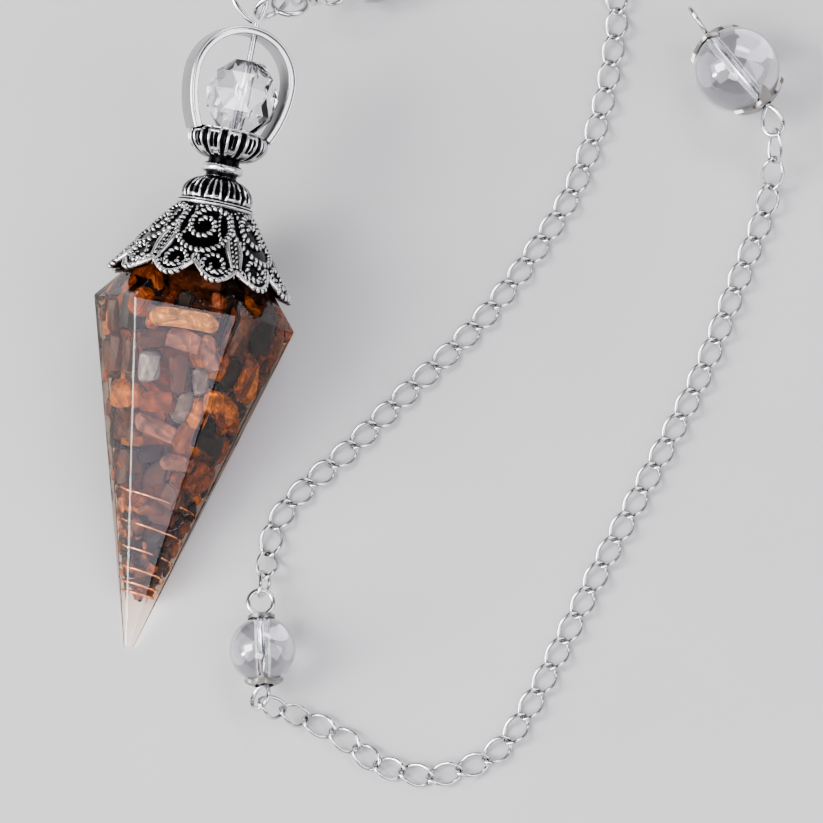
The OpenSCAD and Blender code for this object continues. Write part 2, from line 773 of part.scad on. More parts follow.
module mid_pin() {
    color(steel)
        at_bead(mid_place, MID_HEADING, mid_d)
            round_eye_pin(mid_d, MID_HEADING, [MID_IN_EYE, MID_OUT_EYE]);
}
module end_pin() {
    color(steel)
        at_bead(end_place, END_HEADING, end_d)
            drop_eye_pin(end_d, END_HEADING, [END_IN_EYE, END_OUT_EYE]);
}

// Chain: a smooth line through the route, cut into equal steps, with a twisted link on each
route_steps = 8;
link_sides = 5;
link_parts = 10;
link_z = 0.53;
hook = link_wire / 2 + fit / 2;
function curve_point(a, b, c, d, t) =
    0.5 * (2 * b + (c - a) * t + (2 * a - 5 * b + 4 * c - d) * t * t + (3 * b - a - 3 * c + d) * t * t * t);
function lifted(p) = [p[0], p[1], max(p[2], link_z)];
function smooth_line(route) =
    let (n = len(route))
    concat(
        [for (i = [0:n - 2]) each [for (k = [0:route_steps - 1])
            lifted(curve_point(route[max(i - 1, 0)], route[i], route[i + 1], route[min(i + 2, n - 1)],
                k / route_steps))]],
        [route[n - 1]]
    );
function run(line) =
    [for (i = 0, s = 0; i < len(line); s = s + (i + 1 < len(line) ? norm(line[i + 1] - line[i]) : 0),
        i = i + 1) s];
function joints(route) =
    let (line = smooth_line(route), s = run(line), total = s[len(s) - 1], n = round(total / pitch))
    [for (k = [0:n])
        [for (axis = [0:2]) lookup(total * k / n, [for (i = [0:len(line) - 1]) [s[i], line[i][axis]]])]];
function link_point(a, b, from, to, t) =
    let (
        along = unit(b - a),
        half = norm(b - a) / 2 + hook,
        side = unit(cross([0, 0, 1], along)),
        up = cross(along, side),
        x = half * cos(t),
        turn = (from + to) / 2 + (to - from) / 2 * cos(t)
    )
    (a + b) / 2 + along * x + (side * cos(turn) + up * sin(turn)) * (link_w - link_wire) / 2 * sin(t);
module strand(places, first, last) {
    n = len(places) - 1;
    half = link_twist / 2;
    angles = [for (i = [0:n - 1]) [i == 0 ? first : -half, i == n - 1 ? last : half]];
    paths = [for (i = [0:n - 1]) [for (k = [0:link_parts - 1])
        link_point(places[i], places[i + 1], angles[i][0], angles[i][1], 360 * (k + 0.5) / link_parts)]];
    refs = [for (i = [0:n - 1]) [for (p = paths[i]) p - (places[i] + places[i + 1]) / 2]];
    wires(paths, refs, link_wire / 2, link_sides, true);
}

// A strand's first and last places lie inside the wire that they hook. Each hook is the middle
// of that wire and its diameter.
mid_hook = 50;
function hooked(place, toward, wire) = place - (wire + fit) / 2 * unit(toward - place);
function hooked_route(from, route, to) =
    concat(
        [hooked(from[0], route[0], from[1])],
        route,
        [hooked(to[0], route[len(route) - 1], to[1])]
    );
left_route = hooked_route(
    [round_point(upper_place, upper_d, UPPER_OUT_EYE, 0), eye_wire],
    [for (p = LEFT_ROUTE) lay(from_loop(p), link_z)],
    [round_point(mid_place, mid_d, MID_IN_EYE, 0), eye_wire]
);
right_route = hooked_route(
    [round_point(mid_place, mid_d, MID_OUT_EYE, mid_hook), eye_wire],
    [for (p = RIGHT_ROUTE) lay(from_loop(p), link_z)],
    [drop_point(end_place, end_d, END_IN_EYE), eye_wire]
);
drop_to = round_point(upper_place, upper_d, UPPER_IN_EYE, 0);
drop_from = lower_jump[0]
    + (jump_d - jump_wire) / 2 * across(drop_to - lower_jump[0], unit(lower_jump[1]));
drop_route = [hooked(drop_from, drop_to, jump_wire), hooked(drop_to, drop_from, eye_wire)];

// Turn of a strand's first and last link about its length, in degrees
upright = 90;
mid_turn = -40;
end_turn = -70;
module chain_left() { color(steel) strand(joints(left_route), upright, -upright); }
module chain_right() { color(steel) strand(joints(right_route), mid_turn, end_turn); }
module drop_links() { color(steel) strand(joints(drop_route), upright, -upright); }

resin_point();
stone_chips();
copper_coil();
cap();
faceted_bead();
hanging_pin();
jump_ring_upper();
jump_ring_lower();
drop_links();
upper_bead();
upper_cap_in();
upper_cap_out();
upper_pin();
chain_left();
mid_bead();
mid_cap_in();
mid_cap_out();
mid_pin();
chain_right();
end_bead();
end_cap_in();
end_cap_out();
end_pin();
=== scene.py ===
import math
import random

import bmesh
import bpy
from mathutils import Matrix, Vector, noise
from mathutils.bvhtree import BVHTree


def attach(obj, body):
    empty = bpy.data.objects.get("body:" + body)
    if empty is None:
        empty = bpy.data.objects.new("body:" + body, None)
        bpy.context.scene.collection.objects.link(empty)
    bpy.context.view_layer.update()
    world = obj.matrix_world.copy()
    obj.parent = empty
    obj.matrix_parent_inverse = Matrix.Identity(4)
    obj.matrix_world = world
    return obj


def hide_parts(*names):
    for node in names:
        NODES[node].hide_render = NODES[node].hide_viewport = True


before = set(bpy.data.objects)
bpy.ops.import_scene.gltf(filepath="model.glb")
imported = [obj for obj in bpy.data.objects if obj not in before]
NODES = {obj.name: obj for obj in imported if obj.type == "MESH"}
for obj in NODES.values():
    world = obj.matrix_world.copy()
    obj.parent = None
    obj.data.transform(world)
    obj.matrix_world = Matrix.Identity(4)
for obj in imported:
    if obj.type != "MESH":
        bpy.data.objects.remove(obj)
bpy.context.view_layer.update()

# Everything below is in millimetres in the row frame, and MM turns it into metres.
MM = 0.001

# Named sizes of the part, the same as the solids have
GIRDLE_R, POINT_L, TIP_R = 9.35, 31.0, 0.45
SHOULDER_H, SHOULDER_R = 4.6, 5.5
FLAT = math.cos(math.radians(30))
LIE = math.atan((GIRDLE_R - TIP_R) * FLAT / POINT_L)
TIP_Z = TIP_R * FLAT * math.cos(LIE)
REST_MID = POINT_L / 2 * math.cos(LIE) + (TIP_R + GIRDLE_R) * FLAT / 2 * math.sin(LIE)
RIM_R, CONE_H, RIM_LIFT, CONE_WALL = 8.8, 7.3, 2.5, 1.0
SCALLOP_D, LIP_R, COLLAR_R, COLLAR_H = 1.5, 0.24, 3.6, 0.45
BUD_R, BUD_H, KNOT_R, KNOT_WIRE, NECK_R, NECK_H = 3.25, 2.3, 1.95, 0.45, 1.45, 0.4
CUP_R, CUP_H, PETALS, LEAVES = 3.7, 2.7, 12, 10
CAP_TURN, PANELS = -1.0, 6
RIM_S = POINT_L + RIM_LIFT
COLLAR_S = RIM_S + CONE_H
BUD_S = COLLAR_S + COLLAR_H
KNOT_S = BUD_S + BUD_H + KNOT_WIRE + NECK_H
CUP_S = KNOT_S + KNOT_WIRE + NECK_H
CUP_TOP = CUP_S + CUP_H
RING_R, BAND_T, BAND_W, RING_LIFT, RING_TURN, SIDE_ARC = 5.0, 0.75, 3.0, 4.7, 22.0, 11.0
RING_S = CUP_TOP + RING_LIFT
FIT = 0.12
PIN_SHIFT, PIN_D, PIN_SEAT, EYE_WIRE, EYE_D = 0.5, 0.55, 1.6, 0.46, 2.7
HANG_L, HANG_W, HANG_WIRE, HANG_LEAN = 5.0, 4.2, 0.5, 24.0
HANG_S = RING_S + RING_R + HANG_WIRE
DROP_EYE_L, BORE_D, BEAD_CAP_T, JUMP_D, JUMP_WIRE = 3.2, 0.9, 0.3, 3.7, 0.55
LINK_W, LINK_WIRE, PITCH, LINK_Z = 2.26, 0.36, 2.66, 0.53


def axis_point(x, y, s):
    """A point of the pendulum, named by its place across the axis and its station, in the row frame."""
    return Vector((x, -REST_MID + s * math.cos(LIE) + y * math.sin(LIE),
                   TIP_Z + s * math.sin(LIE) - y * math.cos(LIE)))


def heading(angle):
    a = math.radians(angle)
    return Vector((math.cos(a), math.sin(a), 0))


# Meshes

def new_object(name, data):
    obj = bpy.data.objects.new(name, data)
    bpy.context.scene.collection.objects.link(obj)
    return obj


def piece(name, parts, finish, replaces, smooth=True, angle=None, worn_and_shaded=False, toned=False):
    """One visible piece from (points, faces, wear and shade) parts in millimetres, riding on the row's
    body.
    When worn, the third part is 1 where handling keeps the metal bright and 0 where it stays dark in
    its hollows, and lower on the ring's wide faces as painted shade; with toned it is a colour."""
    points, faces, wear_and_shade = [], [], []
    for part_points, part_faces, *part_wear_and_shade in parts:
        start = len(points)
        points += [tuple(MM * c for c in p) for p in part_points]
        faces += [tuple(start + j for j in face) for face in part_faces]
        wear_and_shade += part_wear_and_shade[0] if part_wear_and_shade else [1.0] * len(part_points)
    mesh = bpy.data.meshes.new(name)
    mesh.from_pydata(points, [], faces)
    if worn_and_shaded:
        mesh.attributes.new("wear_and_shade", "FLOAT", "POINT").data.foreach_set("value", wear_and_shade)
    elif toned:
        tones = [channel for tone in wear_and_shade for channel in (*tone, 1)]
        mesh.attributes.new("tone", "FLOAT_COLOR", "POINT").data.foreach_set("color", tones)
    obj = new_object(name, mesh)
    mesh.materials.append(finish)
    mesh.polygons.foreach_set("use_smooth", [smooth] * len(mesh.polygons))
    if angle is not None:
        mesh.set_sharp_from_angle(angle=math.radians(angle))
    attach(obj, "root")
    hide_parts(*replaces)
    return obj


def ring_faces(first, following, sides):
    return [(first + k, first + (k + 1) % sides, following + (k + 1) % sides, following + k)
            for k in range(sides)]


def sweep(rings, closed):
    """Faces that join equal rings of points into a tube."""
    sides, count = len(rings[0]), len(rings)
    points = [p for ring in rings for p in ring]
    faces = []
    for i in range(count - 1):
        faces += ring_faces(i * sides, (i + 1) * sides, sides)
    if closed:
        faces += ring_faces((count - 1) * sides, 0, sides)
    else:
        faces.append(tuple(range(sides))[::-1])
        faces.append(tuple((count - 1) * sides + k for k in range(sides)))
    return points, faces


def full_turn(count):
    return [2 * math.pi * k / count for k in range(count)]


def tangents(path, closed):
    n = len(path)
    out = []
    for i in range(n):
        before = path[(i - 1) % n] if closed else path[max(i - 1, 0)]
        after = path[(i + 1) % n] if closed else path[min(i + 1, n - 1)]
        out.append((after - before).normalized())
    return out


def wire(path, radius, sides=12, closed=False, refs=None, section=None):
    """A swept wire. radius is a number or one for each point, and section gives a point's own outline."""
    ref = Vector((0, 0, 1))
    rings = []
    for i, (p, t) in enumerate(zip(path, tangents(path, closed))):
        ref = refs[i] if refs else ref
        across = ref - ref.dot(t) * t
        if across.length < 1e-6:
            across = t.orthogonal()
        across.normalize()
        if not refs:
            ref = across
        beside = t.cross(across)
        r = radius[i] if isinstance(radius, (list, tuple)) else radius
        ring = []
        for a in full_turn(sides):
            rr = r * (section(i, a) if section else 1)
            ring.append(p + rr * (across * math.cos(a) + beside * math.sin(a)))
        rings.append(ring)
    return sweep(rings, closed)


def lengths(path):
    """The length of a line from its start to each of its points."""
    run = [0.0]
    for a, b in zip(path, path[1:]):
        run.append(run[-1] + (b - a).length)
    return run


def even_steps(run, count):
    """For each even step along a line: the length so far, the stretch it is in and its share of that."""
    j = 0
    for i in range(count + 1):
        target = run[-1] * i / count
        while j < len(run) - 2 and run[j + 1] < target:
            j += 1
        yield target, j, min(1, (target - run[j]) / ((run[j + 1] - run[j]) or 1))


ROPE_STEP, ROPE_SIDES, ROPE_DEPTH, ROPE_FLAT, ROPE_LOBE = 0.08, 12, 0.5, 0.9, 1.1
# A rope's share of its radius at its ends, the radii that it tapers over, and the wear in its grooves
ROPE_END, ROPE_TAPER, ROPE_GROOVE = 0.35, 1.6, 0.12


def rope(path, normals, radius, pitch):
    """A closely twisted wire, like a row of beads, with dark grooves between them and thin ends."""
    run = lengths(path)
    line, refs, radii, phase = [], [], [], []
    for target, j, share in even_steps(run, max(2, round(run[-1] / ROPE_STEP))):
        line.append(path[j].lerp(path[j + 1], share))
        refs.append(normals[j].lerp(normals[j + 1], share).normalized())
        end = min(target, run[-1] - target)
        radii.append(radius * (ROPE_END + (1 - ROPE_END) * min(1, end / (ROPE_TAPER * radius))))
        phase.append(math.pi * target / pitch)

    def lobe(i, a):
        return abs(math.cos(a / 2 - phase[i])) ** ROPE_LOBE

    def section(i, a):
        return (1 - ROPE_DEPTH * (1 - lobe(i, a))) * (1 - (1 - ROPE_FLAT) * abs(math.sin(a)))

    points, faces = wire(line, radii, ROPE_SIDES, refs=refs, section=section)
    wear_and_shade = [ROPE_GROOVE + (1 - ROPE_GROOVE) * lobe(i, a)
            for i in range(len(line)) for a in full_turn(ROPE_SIDES)]
    return points, faces, wear_and_shade


# The depth of carving that is fully dark
CARVED_DARK = 0.22


def lathe(profile, steps, place, radial=None):
    """Turns a profile of (radius, height). place puts (x, y, height) into the row frame, and
    radial gives the depth of the carving by angle, radius and height, which also stays dark."""
    rings, wear_and_shade = [], []
    for a in full_turn(steps):
        ring = []
        for r, h in profile:
            depth = radial(a, r, h) if radial else 0
            ring.append(place((r - depth) * math.cos(a), (r - depth) * math.sin(a), h))
            wear_and_shade.append(1 - min(1, depth / CARVED_DARK))
        rings.append(ring)
    sides = len(profile)
    points = [p for ring in rings for p in ring]
    faces = []
    for k in range(steps):
        n = (k + 1) % steps
        for j in range(sides - 1):
            faces.append((k * sides + j, n * sides + j, n * sides + j + 1, k * sides + j + 1))
    return points, faces, wear_and_shade


def near_four(points, i):
    """A point of a line with the one before it and the two after it."""
    return points[max(i - 1, 0)], points[i], points[i + 1], points[min(i + 2, len(points) - 1)]


def curve_point(a, b, c, d, t):
    """A place between b and c on the smooth line through four."""
    return 0.5 * (2 * b + (c - a) * t + (2 * a - 5 * b + 4 * c - d) * t * t
                  + (3 * b - a - 3 * c + d) * t ** 3)


def smooth_profile(points, steps):
    """A rounded run through a profile's points."""
    out = []
    for i in range(len(points) - 1):
        for k in range(steps):
            out.append(tuple(curve_point(*four, k / steps) for four in zip(*near_four(points, i))))
    out.append(tuple(points[-1]))
    return out


# Materials

def material(name, base, **sockets):
    m = bpy.data.materials.new(name)
    m.use_nodes = True
    shader = m.node_tree.nodes["Principled BSDF"]
    shader.inputs["Base Color"].default_value = (*base, 1)
    for key, value in sockets.items():
        shader.inputs[key.replace("_", " ")].default_value = value
    return m, m.node_tree, shader


def link(tree, a, b):
    tree.links.new(a, b)


def node(tree, kind, values=None, **settings):
    """A node with the values of its sockets and its settings."""
    made = tree.nodes.new(kind)
    for key, value in settings.items():
        setattr(made, key, value)
    for socket, value in (values or {}).items():
        made.inputs[socket].default_value = value
    return made


def ramp(tree, value, stops):
    """The colours of the stops (value, colour), by a value."""
    made = node(tree, "ShaderNodeValToRGB")
    elements = made.color_ramp.elements
    while len(elements) < len(stops):
        elements.new(0.5)
    for element, (at, colour) in zip(elements, stops):
        element.position = at
        element.color = (*colour, 1)
    link(tree, value, made.inputs["Fac"])
    return made.outputs["Color"]


# The colour sockets of a mix node
MIX_A, MIX_B, MIX_RESULT = 6, 7, 2


def multiply(tree, a, b):
    mix = node(tree, "ShaderNodeMix", {"Factor": 1.0}, data_type="RGBA", blend_type="MULTIPLY")
    link(tree, a, mix.inputs[MIX_A])
    link(tree, b, mix.inputs[MIX_B])
    return mix.outputs[MIX_RESULT]


def mm_coords(tree):
    """The object's own coordinates in millimetres."""
    coords = node(tree, "ShaderNodeTexCoord")
    mapping = node(tree, "ShaderNodeMapping", {"Scale": (1 / MM, 1 / MM, 1 / MM)})
    link(tree, coords.outputs["Object"], mapping.inputs["Vector"])
    return mapping.outputs["Vector"]


def noise_value(tree, scale, detail=4.0, roughness=0.55, distortion=0.0):
    made = node(tree, "ShaderNodeTexNoise", {"Scale": scale, "Detail": detail, "Roughness": roughness,
                                             "Distortion": distortion})
    link(tree, mm_coords(tree), made.inputs["Vector"])
    return made.outputs["Fac"]


def add_bump(tree, shader, height, strength, distance):
    bump = node(tree, "ShaderNodeBump", {"Strength": strength, "Distance": distance})
    link(tree, height, bump.inputs["Height"])
    link(tree, bump.outputs["Normal"], shader.inputs["Normal"])


# How much more and less rough than its own value a silver is in places
SMOOTHER, ROUGHER = 0.06, 0.12


def silver_material(name, bright, dark, reach, low, high, rough, worn_and_shaded=False, alone=False):
    """Silver whose base colour is darkened as painted shade where a place is enclosed: in its own
    recesses and, unless alone, also beside nearby parts and over the floor. On antique silver this
    darkening also stands for patina in the hollows, and the mesh's own wear and painted shade can darken it
    too."""
    m, tree, shader = material(name, bright, Metallic=1.0, Roughness=rough)
    # Painted shade: the base colour is darker the more enclosed a place is, by the piece itself and, unless
    # alone, by nearby parts and the floor
    enclosure_shade = node(tree, "ShaderNodeAmbientOcclusion", {"Distance": reach}, samples=8, only_local=alone)
    share = enclosure_shade.outputs["AO"]
    if worn_and_shaded:
        wear_and_shade = node(tree, "ShaderNodeAttribute", attribute_name="wear_and_shade")
        both = node(tree, "ShaderNodeMath", operation="MULTIPLY")
        link(tree, share, both.inputs[0])
        link(tree, wear_and_shade.outputs["Fac"], both.inputs[1])
        share = both.outputs["Value"]
    link(tree, ramp(tree, share, [(low, dark), (high, bright)]), shader.inputs["Base Color"])
    spread = node(tree, "ShaderNodeMapRange", {"To Min": rough - SMOOTHER, "To Max": rough + ROUGHER})
    link(tree, noise_value(tree, 1.8), spread.inputs["Value"])
    link(tree, spread.outputs["Result"], shader.inputs["Roughness"])
    add_bump(tree, shader, noise_value(tree, 6, 6), 0.25, 0.00004)
    return m


# All three silvers carry painted shade in enclosed places. On the antique silver and the bead caps it also
# stands for patina in the hollows, and on the plated wire it is shade only
ANTIQUE = silver_material("antique_silver", (0.82, 0.81, 0.8), (0.008, 0.008, 0.01), 0.0016, 0.3, 0.8,
                          0.2, worn_and_shaded=True)
PLATED = silver_material("silver_wire", (0.74, 0.74, 0.75), (0.04, 0.04, 0.04), 0.0008, 0.15, 0.85,
                         0.13, alone=True)
CAP_SILVER = silver_material("silver_cap", (0.38, 0.36, 0.34), (0.015, 0.013, 0.012), 0.001, 0.3, 0.85,
                             0.34)

COPPER, tree, shader = material("copper", (0.95, 0.5, 0.3), Metallic=1.0, Roughness=0.18)
link(tree, ramp(tree, noise_value(tree, 2.0), [(0.3, (0.85, 0.27, 0.09)), (0.65, (1.0, 0.56, 0.3))]),
     shader.inputs["Base Color"])

RESIN, tree, shader = material("clear_resin", (0.91, 0.86, 0.8), Roughness=0.02, IOR=1.38,
                               Transmission_Weight=1.0)
absorb = node(tree, "ShaderNodeVolumeAbsorption", {"Color": (0.86, 0.71, 0.52, 1), "Density": 210})
link(tree, absorb.outputs["Volume"], tree.nodes["Material Output"].inputs["Volume"])
add_bump(tree, shader, noise_value(tree, 0.35, 2), 0.08, 0.0004)

CRYSTAL, tree, shader = material("bead_glass", (0.97, 0.97, 1.0), Roughness=0.0, IOR=1.52,
                                 Transmission_Weight=1.0, Coat_Weight=1.0, Coat_IOR=1.85,
                                 Coat_Roughness=0.0)
add_bump(tree, shader, noise_value(tree, 0.25, 1), 0.03, 0.0002)

# Stone under resin mirrors little
STONE, tree, shader = material("stone", (0.4, 0.22, 0.12), Roughness=0.35, Specular_IOR_Level=0.12)
chip_tone = node(tree, "ShaderNodeAttribute", attribute_name="tone")
veins = ramp(tree, noise_value(tree, 0.62, 8, 0.66, 2.2), [
    (0.36, (0.2, 0.16, 0.14)), (0.46, (0.8, 0.78, 0.76)), (0.56, (1.15, 1.05, 1.0)),
    (0.62, (2.2, 2.0, 1.8)), (0.66, (1.0, 0.9, 0.85))])
wave = node(tree, "ShaderNodeTexWave", {"Scale": 0.22, "Distortion": 7.0, "Detail": 4.0,
                                        "Detail Scale": 1.6}, bands_direction="DIAGONAL")
link(tree, mm_coords(tree), wave.inputs["Vector"])
bands = ramp(tree, wave.outputs["Color"], [
    (0.0, (0.62, 0.58, 0.55)), (0.4, (0.95, 0.93, 0.9)), (0.52, (1.9, 1.7, 1.45)),
    (0.6, (0.95, 0.9, 0.85)), (1.0, (1.15, 1.05, 0.95))])
link(tree, multiply(tree, multiply(tree, chip_tone.outputs["Color"], veins), bands),
     shader.inputs["Base Color"])
add_bump(tree, shader, noise_value(tree, 3.0, 6), 0.2, 0.0001)

FLOOR, tree, shader = material("floor", (0.8, 0.79, 0.77), Roughness=0.55)
mottle = ramp(tree, noise_value(tree, 0.02, 3), [(0.3, (0.58, 0.575, 0.565)), (0.7, (0.63, 0.625, 0.615))])
link(tree, mottle, shader.inputs["Base Color"])


def soften(obj, width, segments, limit=30):
    """Rounds the edges that turn by more than the limit."""
    edge = obj.modifiers.new("soft_edge", "BEVEL")
    edge.width = width * MM
    edge.segments = segments
    edge.limit_method = "ANGLE"
    edge.angle_limit = math.radians(limit)


# Resin point: the clear solid round the chips and the coil

def hexagon(radius, s):
    return [axis_point(radius * math.cos(math.radians(60 * k)), radius * math.sin(math.radians(60 * k)), s)
            for k in range(6)]


resin = piece("resin_clear", [sweep([hexagon(TIP_R, 0), hexagon(GIRDLE_R, POINT_L),
                                     hexagon(SHOULDER_R, POINT_L + SHOULDER_H)], False)],
              RESIN, replaces=["resin_point"], smooth=False)
soften(resin, 0.11, 1)
# Light reaches the chips as through clear resin
resin.visible_shadow = False


# Stone chips: the solids' chips, rounded like tumbled stone, and small ones between them

COIL_LOW, COIL_L, COIL_TURNS, COIL_WIRE, COIL_CLEAR = 4.9, 9.6, 5.5, 0.3, 0.5
CHIP_COVER, FRONT_COVER, TIP_COVER, ABOVE_COIL, CORNER_HALF = 0.22, 1.5, 0.5, 0.4, 18
EDGE_SLOPE = (GIRDLE_R - TIP_R) / POINT_L
FACET_WAYS = [(math.cos(math.radians(30 + 60 * k)), math.sin(math.radians(30 + 60 * k))) for k in range(6)]


def facet_reach(s):
    """How far the facets are from the axis at a station."""
    if s < POINT_L:
        return (TIP_R + (GIRDLE_R - TIP_R) * s / POINT_L) * FLAT
    return (GIRDLE_R - (GIRDLE_R - SHOULDER_R) * (s - POINT_L) / SHOULDER_H) * FLAT


def inside_resin(p, margin):
    """Whether an axis-frame point (x, y, s) lies inside the resin by more than the margin."""
    if not TIP_COVER < p[2] < POINT_L + SHOULDER_H - margin:
        return False
    return max(p[0] * x + p[1] * y for x, y in FACET_WAYS) < facet_reach(p[2]) - margin


# Colours of the stone: tan, orange, rust, brown, pinkish brown, warm grey, blue grey, dark
TAN, ORANGE, RUST = (0.46, 0.2, 0.04), (0.32, 0.1, 0.01), (0.14, 0.036, 0.006)
BROWN, PINK, GREY = (0.06, 0.022, 0.01), (0.19, 0.078, 0.05), (0.12, 0.095, 0.088)
BLUE_GREY, DARK = (0.2, 0.21, 0.22), (0.012, 0.007, 0.005)
MIX = [ORANGE, ORANGE, RUST, RUST, RUST, BROWN, BROWN, BROWN, BROWN, BROWN, DARK, DARK]
# The middle's chips take darker colours, as painted shade deep inside the point
MIDDLE_SHADE_TONES = [DARK, DARK, BROWN, RUST]
BEHIND_FRONT = [DARK, BROWN, RUST, RUST, ORANGE]
# The chips under the front facet: sideways place, station and colour
FRONT_TONES = [
    (-0.2, 29.9, TAN), (-2.7, 27.6, BROWN), (0.2, 27.8, PINK), (2.8, 27.5, PINK), (-2.4, 25.3, BLUE_GREY),
    (0.3, 25.1, BROWN), (2.5, 24.6, GREY), (-1, 22.3, RUST), (1.15, 22.4, GREY), (2.4, 22, ORANGE),
    (-0.9, 19.7, PINK), (1.6, 19.6, RUST), (-1.2, 17.6, DARK), (1.1, 17, PINK),
]


def axis_coordinates(p):
    """The place across the axis and the station of a point of the row frame, in millimetres."""
    y, z = p.y + REST_MID, p.z - TIP_Z
    return Vector((p.x, y * math.sin(LIE) - z * math.cos(LIE), y * math.cos(LIE) + z * math.sin(LIE)))


# A chip takes the colour of the nearest row of FRONT_TONES when it is nearer than this
TONE_REACH = 0.7


def front_tone(middle, rng):
    """The colour of one of the solids' chips, by its place in the axis frame."""
    def away(row):
        return math.hypot(row[0] - middle.x, row[1] - middle.z)

    best = min(FRONT_TONES, key=away)
    in_front = middle.y < -facet_reach(middle.z) / 2
    return best[2] if away(best) < TONE_REACH and in_front else rng.choice(MIX)


def shifted(tone, rng):
    """The colour a little lighter or darker, so that no two chips are the same."""
    share = rng.uniform(0.75, 1.25)
    return tuple(share * c for c in tone)


def noise_shift(p):
    """A smooth wander in all three directions, the same on every run."""
    return Vector([noise.noise(p + k * Vector((9.3, 5.1, -7.7))) for k in range(3)])


# How far the solids' chips are filled out, how far that and their corners wander, and how often
# the two wander in a metre
SWELL, SWELL_NOISE, WANDER, SWELL_OFTEN, WANDER_OFTEN = 0.5, 0.3, 0.75, 500, 330


def chip_islands(obj, rng):
    """The solids' chips, filled out and broken like crushed stone, each with a colour."""
    work = bmesh.new()
    work.from_mesh(obj.data)
    bmesh.ops.remove_doubles(work, verts=work.verts, dist=1e-6)
    bmesh.ops.triangulate(work, faces=work.faces[:])
    bmesh.ops.subdivide_edges(work, edges=work.edges[:], cuts=2, use_grid_fill=True)
    work.normal_update()
    for v in work.verts:
        swell = SWELL + SWELL_NOISE * noise.noise(v.co * SWELL_OFTEN)
        v.co += MM * (v.normal * swell + WANDER * noise_shift(v.co * WANDER_OFTEN))
    bmesh.ops.smooth_vert(work, verts=work.verts, factor=0.5, use_axis_x=True, use_axis_y=True,
                          use_axis_z=True)
    bmesh.ops.triangulate(work, faces=work.faces[:])
    points = [v.co / MM for v in work.verts]
    faces = [tuple(v.index for v in f.verts) for f in work.faces]
    tones = [None] * len(points)
    for seed in work.verts:
        if tones[seed.index] is not None:
            continue
        island, edge = {seed}, [seed]
        while edge:
            for e in edge.pop().link_edges:
                for v in e.verts:
                    if v not in island:
                        island.add(v)
                        edge.append(v)
        middle = axis_coordinates(sum((points[v.index] for v in island), Vector()) / len(island))
        tone = front_tone(middle, rng)
        for v in island:
            tones[v.index] = tone
    work.free()
    return points, faces, tones


def nearest_facet(x, y):
    """The direction across the axis of the facet that a point lies nearest to."""
    return max((Vector((*way, 0)) for way in FACET_WAYS), key=lambda n: n.x * x + n.y * y)


def in_place(p):
    """Whether a chip may reach this point: inside the resin's cover, and inside the coil where that is."""
    by_coil = p[2] < COIL_LOW + COIL_L + ABOVE_COIL
    if by_coil and math.hypot(p[0], p[1]) > facet_reach(p[2]) - COIL_CLEAR - COIL_WIRE:
        off_corner = abs((math.degrees(math.atan2(p[1], p[0])) + 30) % 60 - 30)
        if off_corner >= CORNER_HALF:
            return False
    return inside_resin(p, CHIP_COVER)


def random_way(rng, x, y, z):
    return Vector((rng.gauss(0, x), rng.gauss(0, y), rng.gauss(0, z)))


# A block's width and thickness to its length, its breaks, their places and its blunt edges
BLOCK_WIDE, BLOCK_THIN, BREAKS, BREAK_AT, BLUNT = (0.6, 0.95), (0.35, 0.6), 7, (0.62, 0.86), 0.16


def broken_block(rng):
    """A block two units long with its corners broken off and its edges blunted."""
    work = bmesh.new()
    bmesh.ops.create_cube(work, size=2)
    bmesh.ops.scale(work, vec=(1, rng.uniform(*BLOCK_WIDE), rng.uniform(*BLOCK_THIN)), verts=work.verts)
    for _ in range(BREAKS):
        n = random_way(rng, 1, 1, 0.5).normalized()
        reach = max(n.dot(v.co) for v in work.verts)
        cut = bmesh.ops.bisect_plane(
            work, geom=work.verts[:] + work.edges[:] + work.faces[:], plane_no=n,
            plane_co=n * reach * rng.uniform(*BREAK_AT), clear_outer=True)
        loop = [e for e in cut["geom_cut"] if isinstance(e, bmesh.types.BMEdge)]
        if loop:
            bmesh.ops.edgeloop_fill(work, edges=loop)
    bmesh.ops.bevel(work, geom=work.edges[:], offset=BLUNT, segments=2, affect="EDGES")
    bmesh.ops.triangulate(work, faces=work.faces[:])
    return work


# How far a chip's thin side and a sliver's long side stray, and how much chips keep to the axis
CHIP_STRAY, SLIVER_STRAY, LENGTHWISE = 0.22, 0.1, 1.6


def shard(centre, size, rng, tone, out=None):
    """One angular chip round a point of the axis frame, its thin side toward the nearest facet or
    the given side, or nothing where it would leave its place."""
    work = broken_block(rng)
    upright = out is not None
    out = out or nearest_facet(centre[0], centre[1])
    thin = (out + random_way(rng, CHIP_STRAY, CHIP_STRAY, CHIP_STRAY)).normalized()
    if upright:
        wide = Vector((rng.gauss(0, SLIVER_STRAY), rng.gauss(0, SLIVER_STRAY), 1)) + EDGE_SLOPE * out
    else:
        wide = random_way(rng, 1, 1, LENGTHWISE)
    wide = (wide - wide.dot(thin) * thin).normalized()
    beside = thin.cross(wide)
    places = [Vector(centre) + size * (wide * v.co.x + beside * v.co.y + thin * v.co.z) for v in work.verts]
    faces = [tuple(v.index for v in f.verts) for f in work.faces]
    work.free()
    if not all(in_place(p) for p in places):
        return None
    return [axis_point(*p) for p in places], faces, [shifted(tone, rng)] * len(places)


# Sizes of the chips put in, the tries for each, whether they fill the middle, where their darker colours
# are painted shade, and how far up
CHIPS_FROM, CHIPS_TO = 4.6, POINT_L + SHOULDER_H - 0.5
CHIP_CLASSES = [
    (2.6, 3.4, 2500, True, CHIPS_TO), (1.5, 2.1, 2500, True, CHIPS_TO), (2.1, 2.8, 9000, False, CHIPS_TO),
    (1.5, 2.0, 9000, False, CHIPS_TO), (1.0, 1.3, 7000, False, CHIPS_TO), (0.7, 1.1, 7000, False, 16),
    (0.45, 0.75, 4000, False, 9),
]
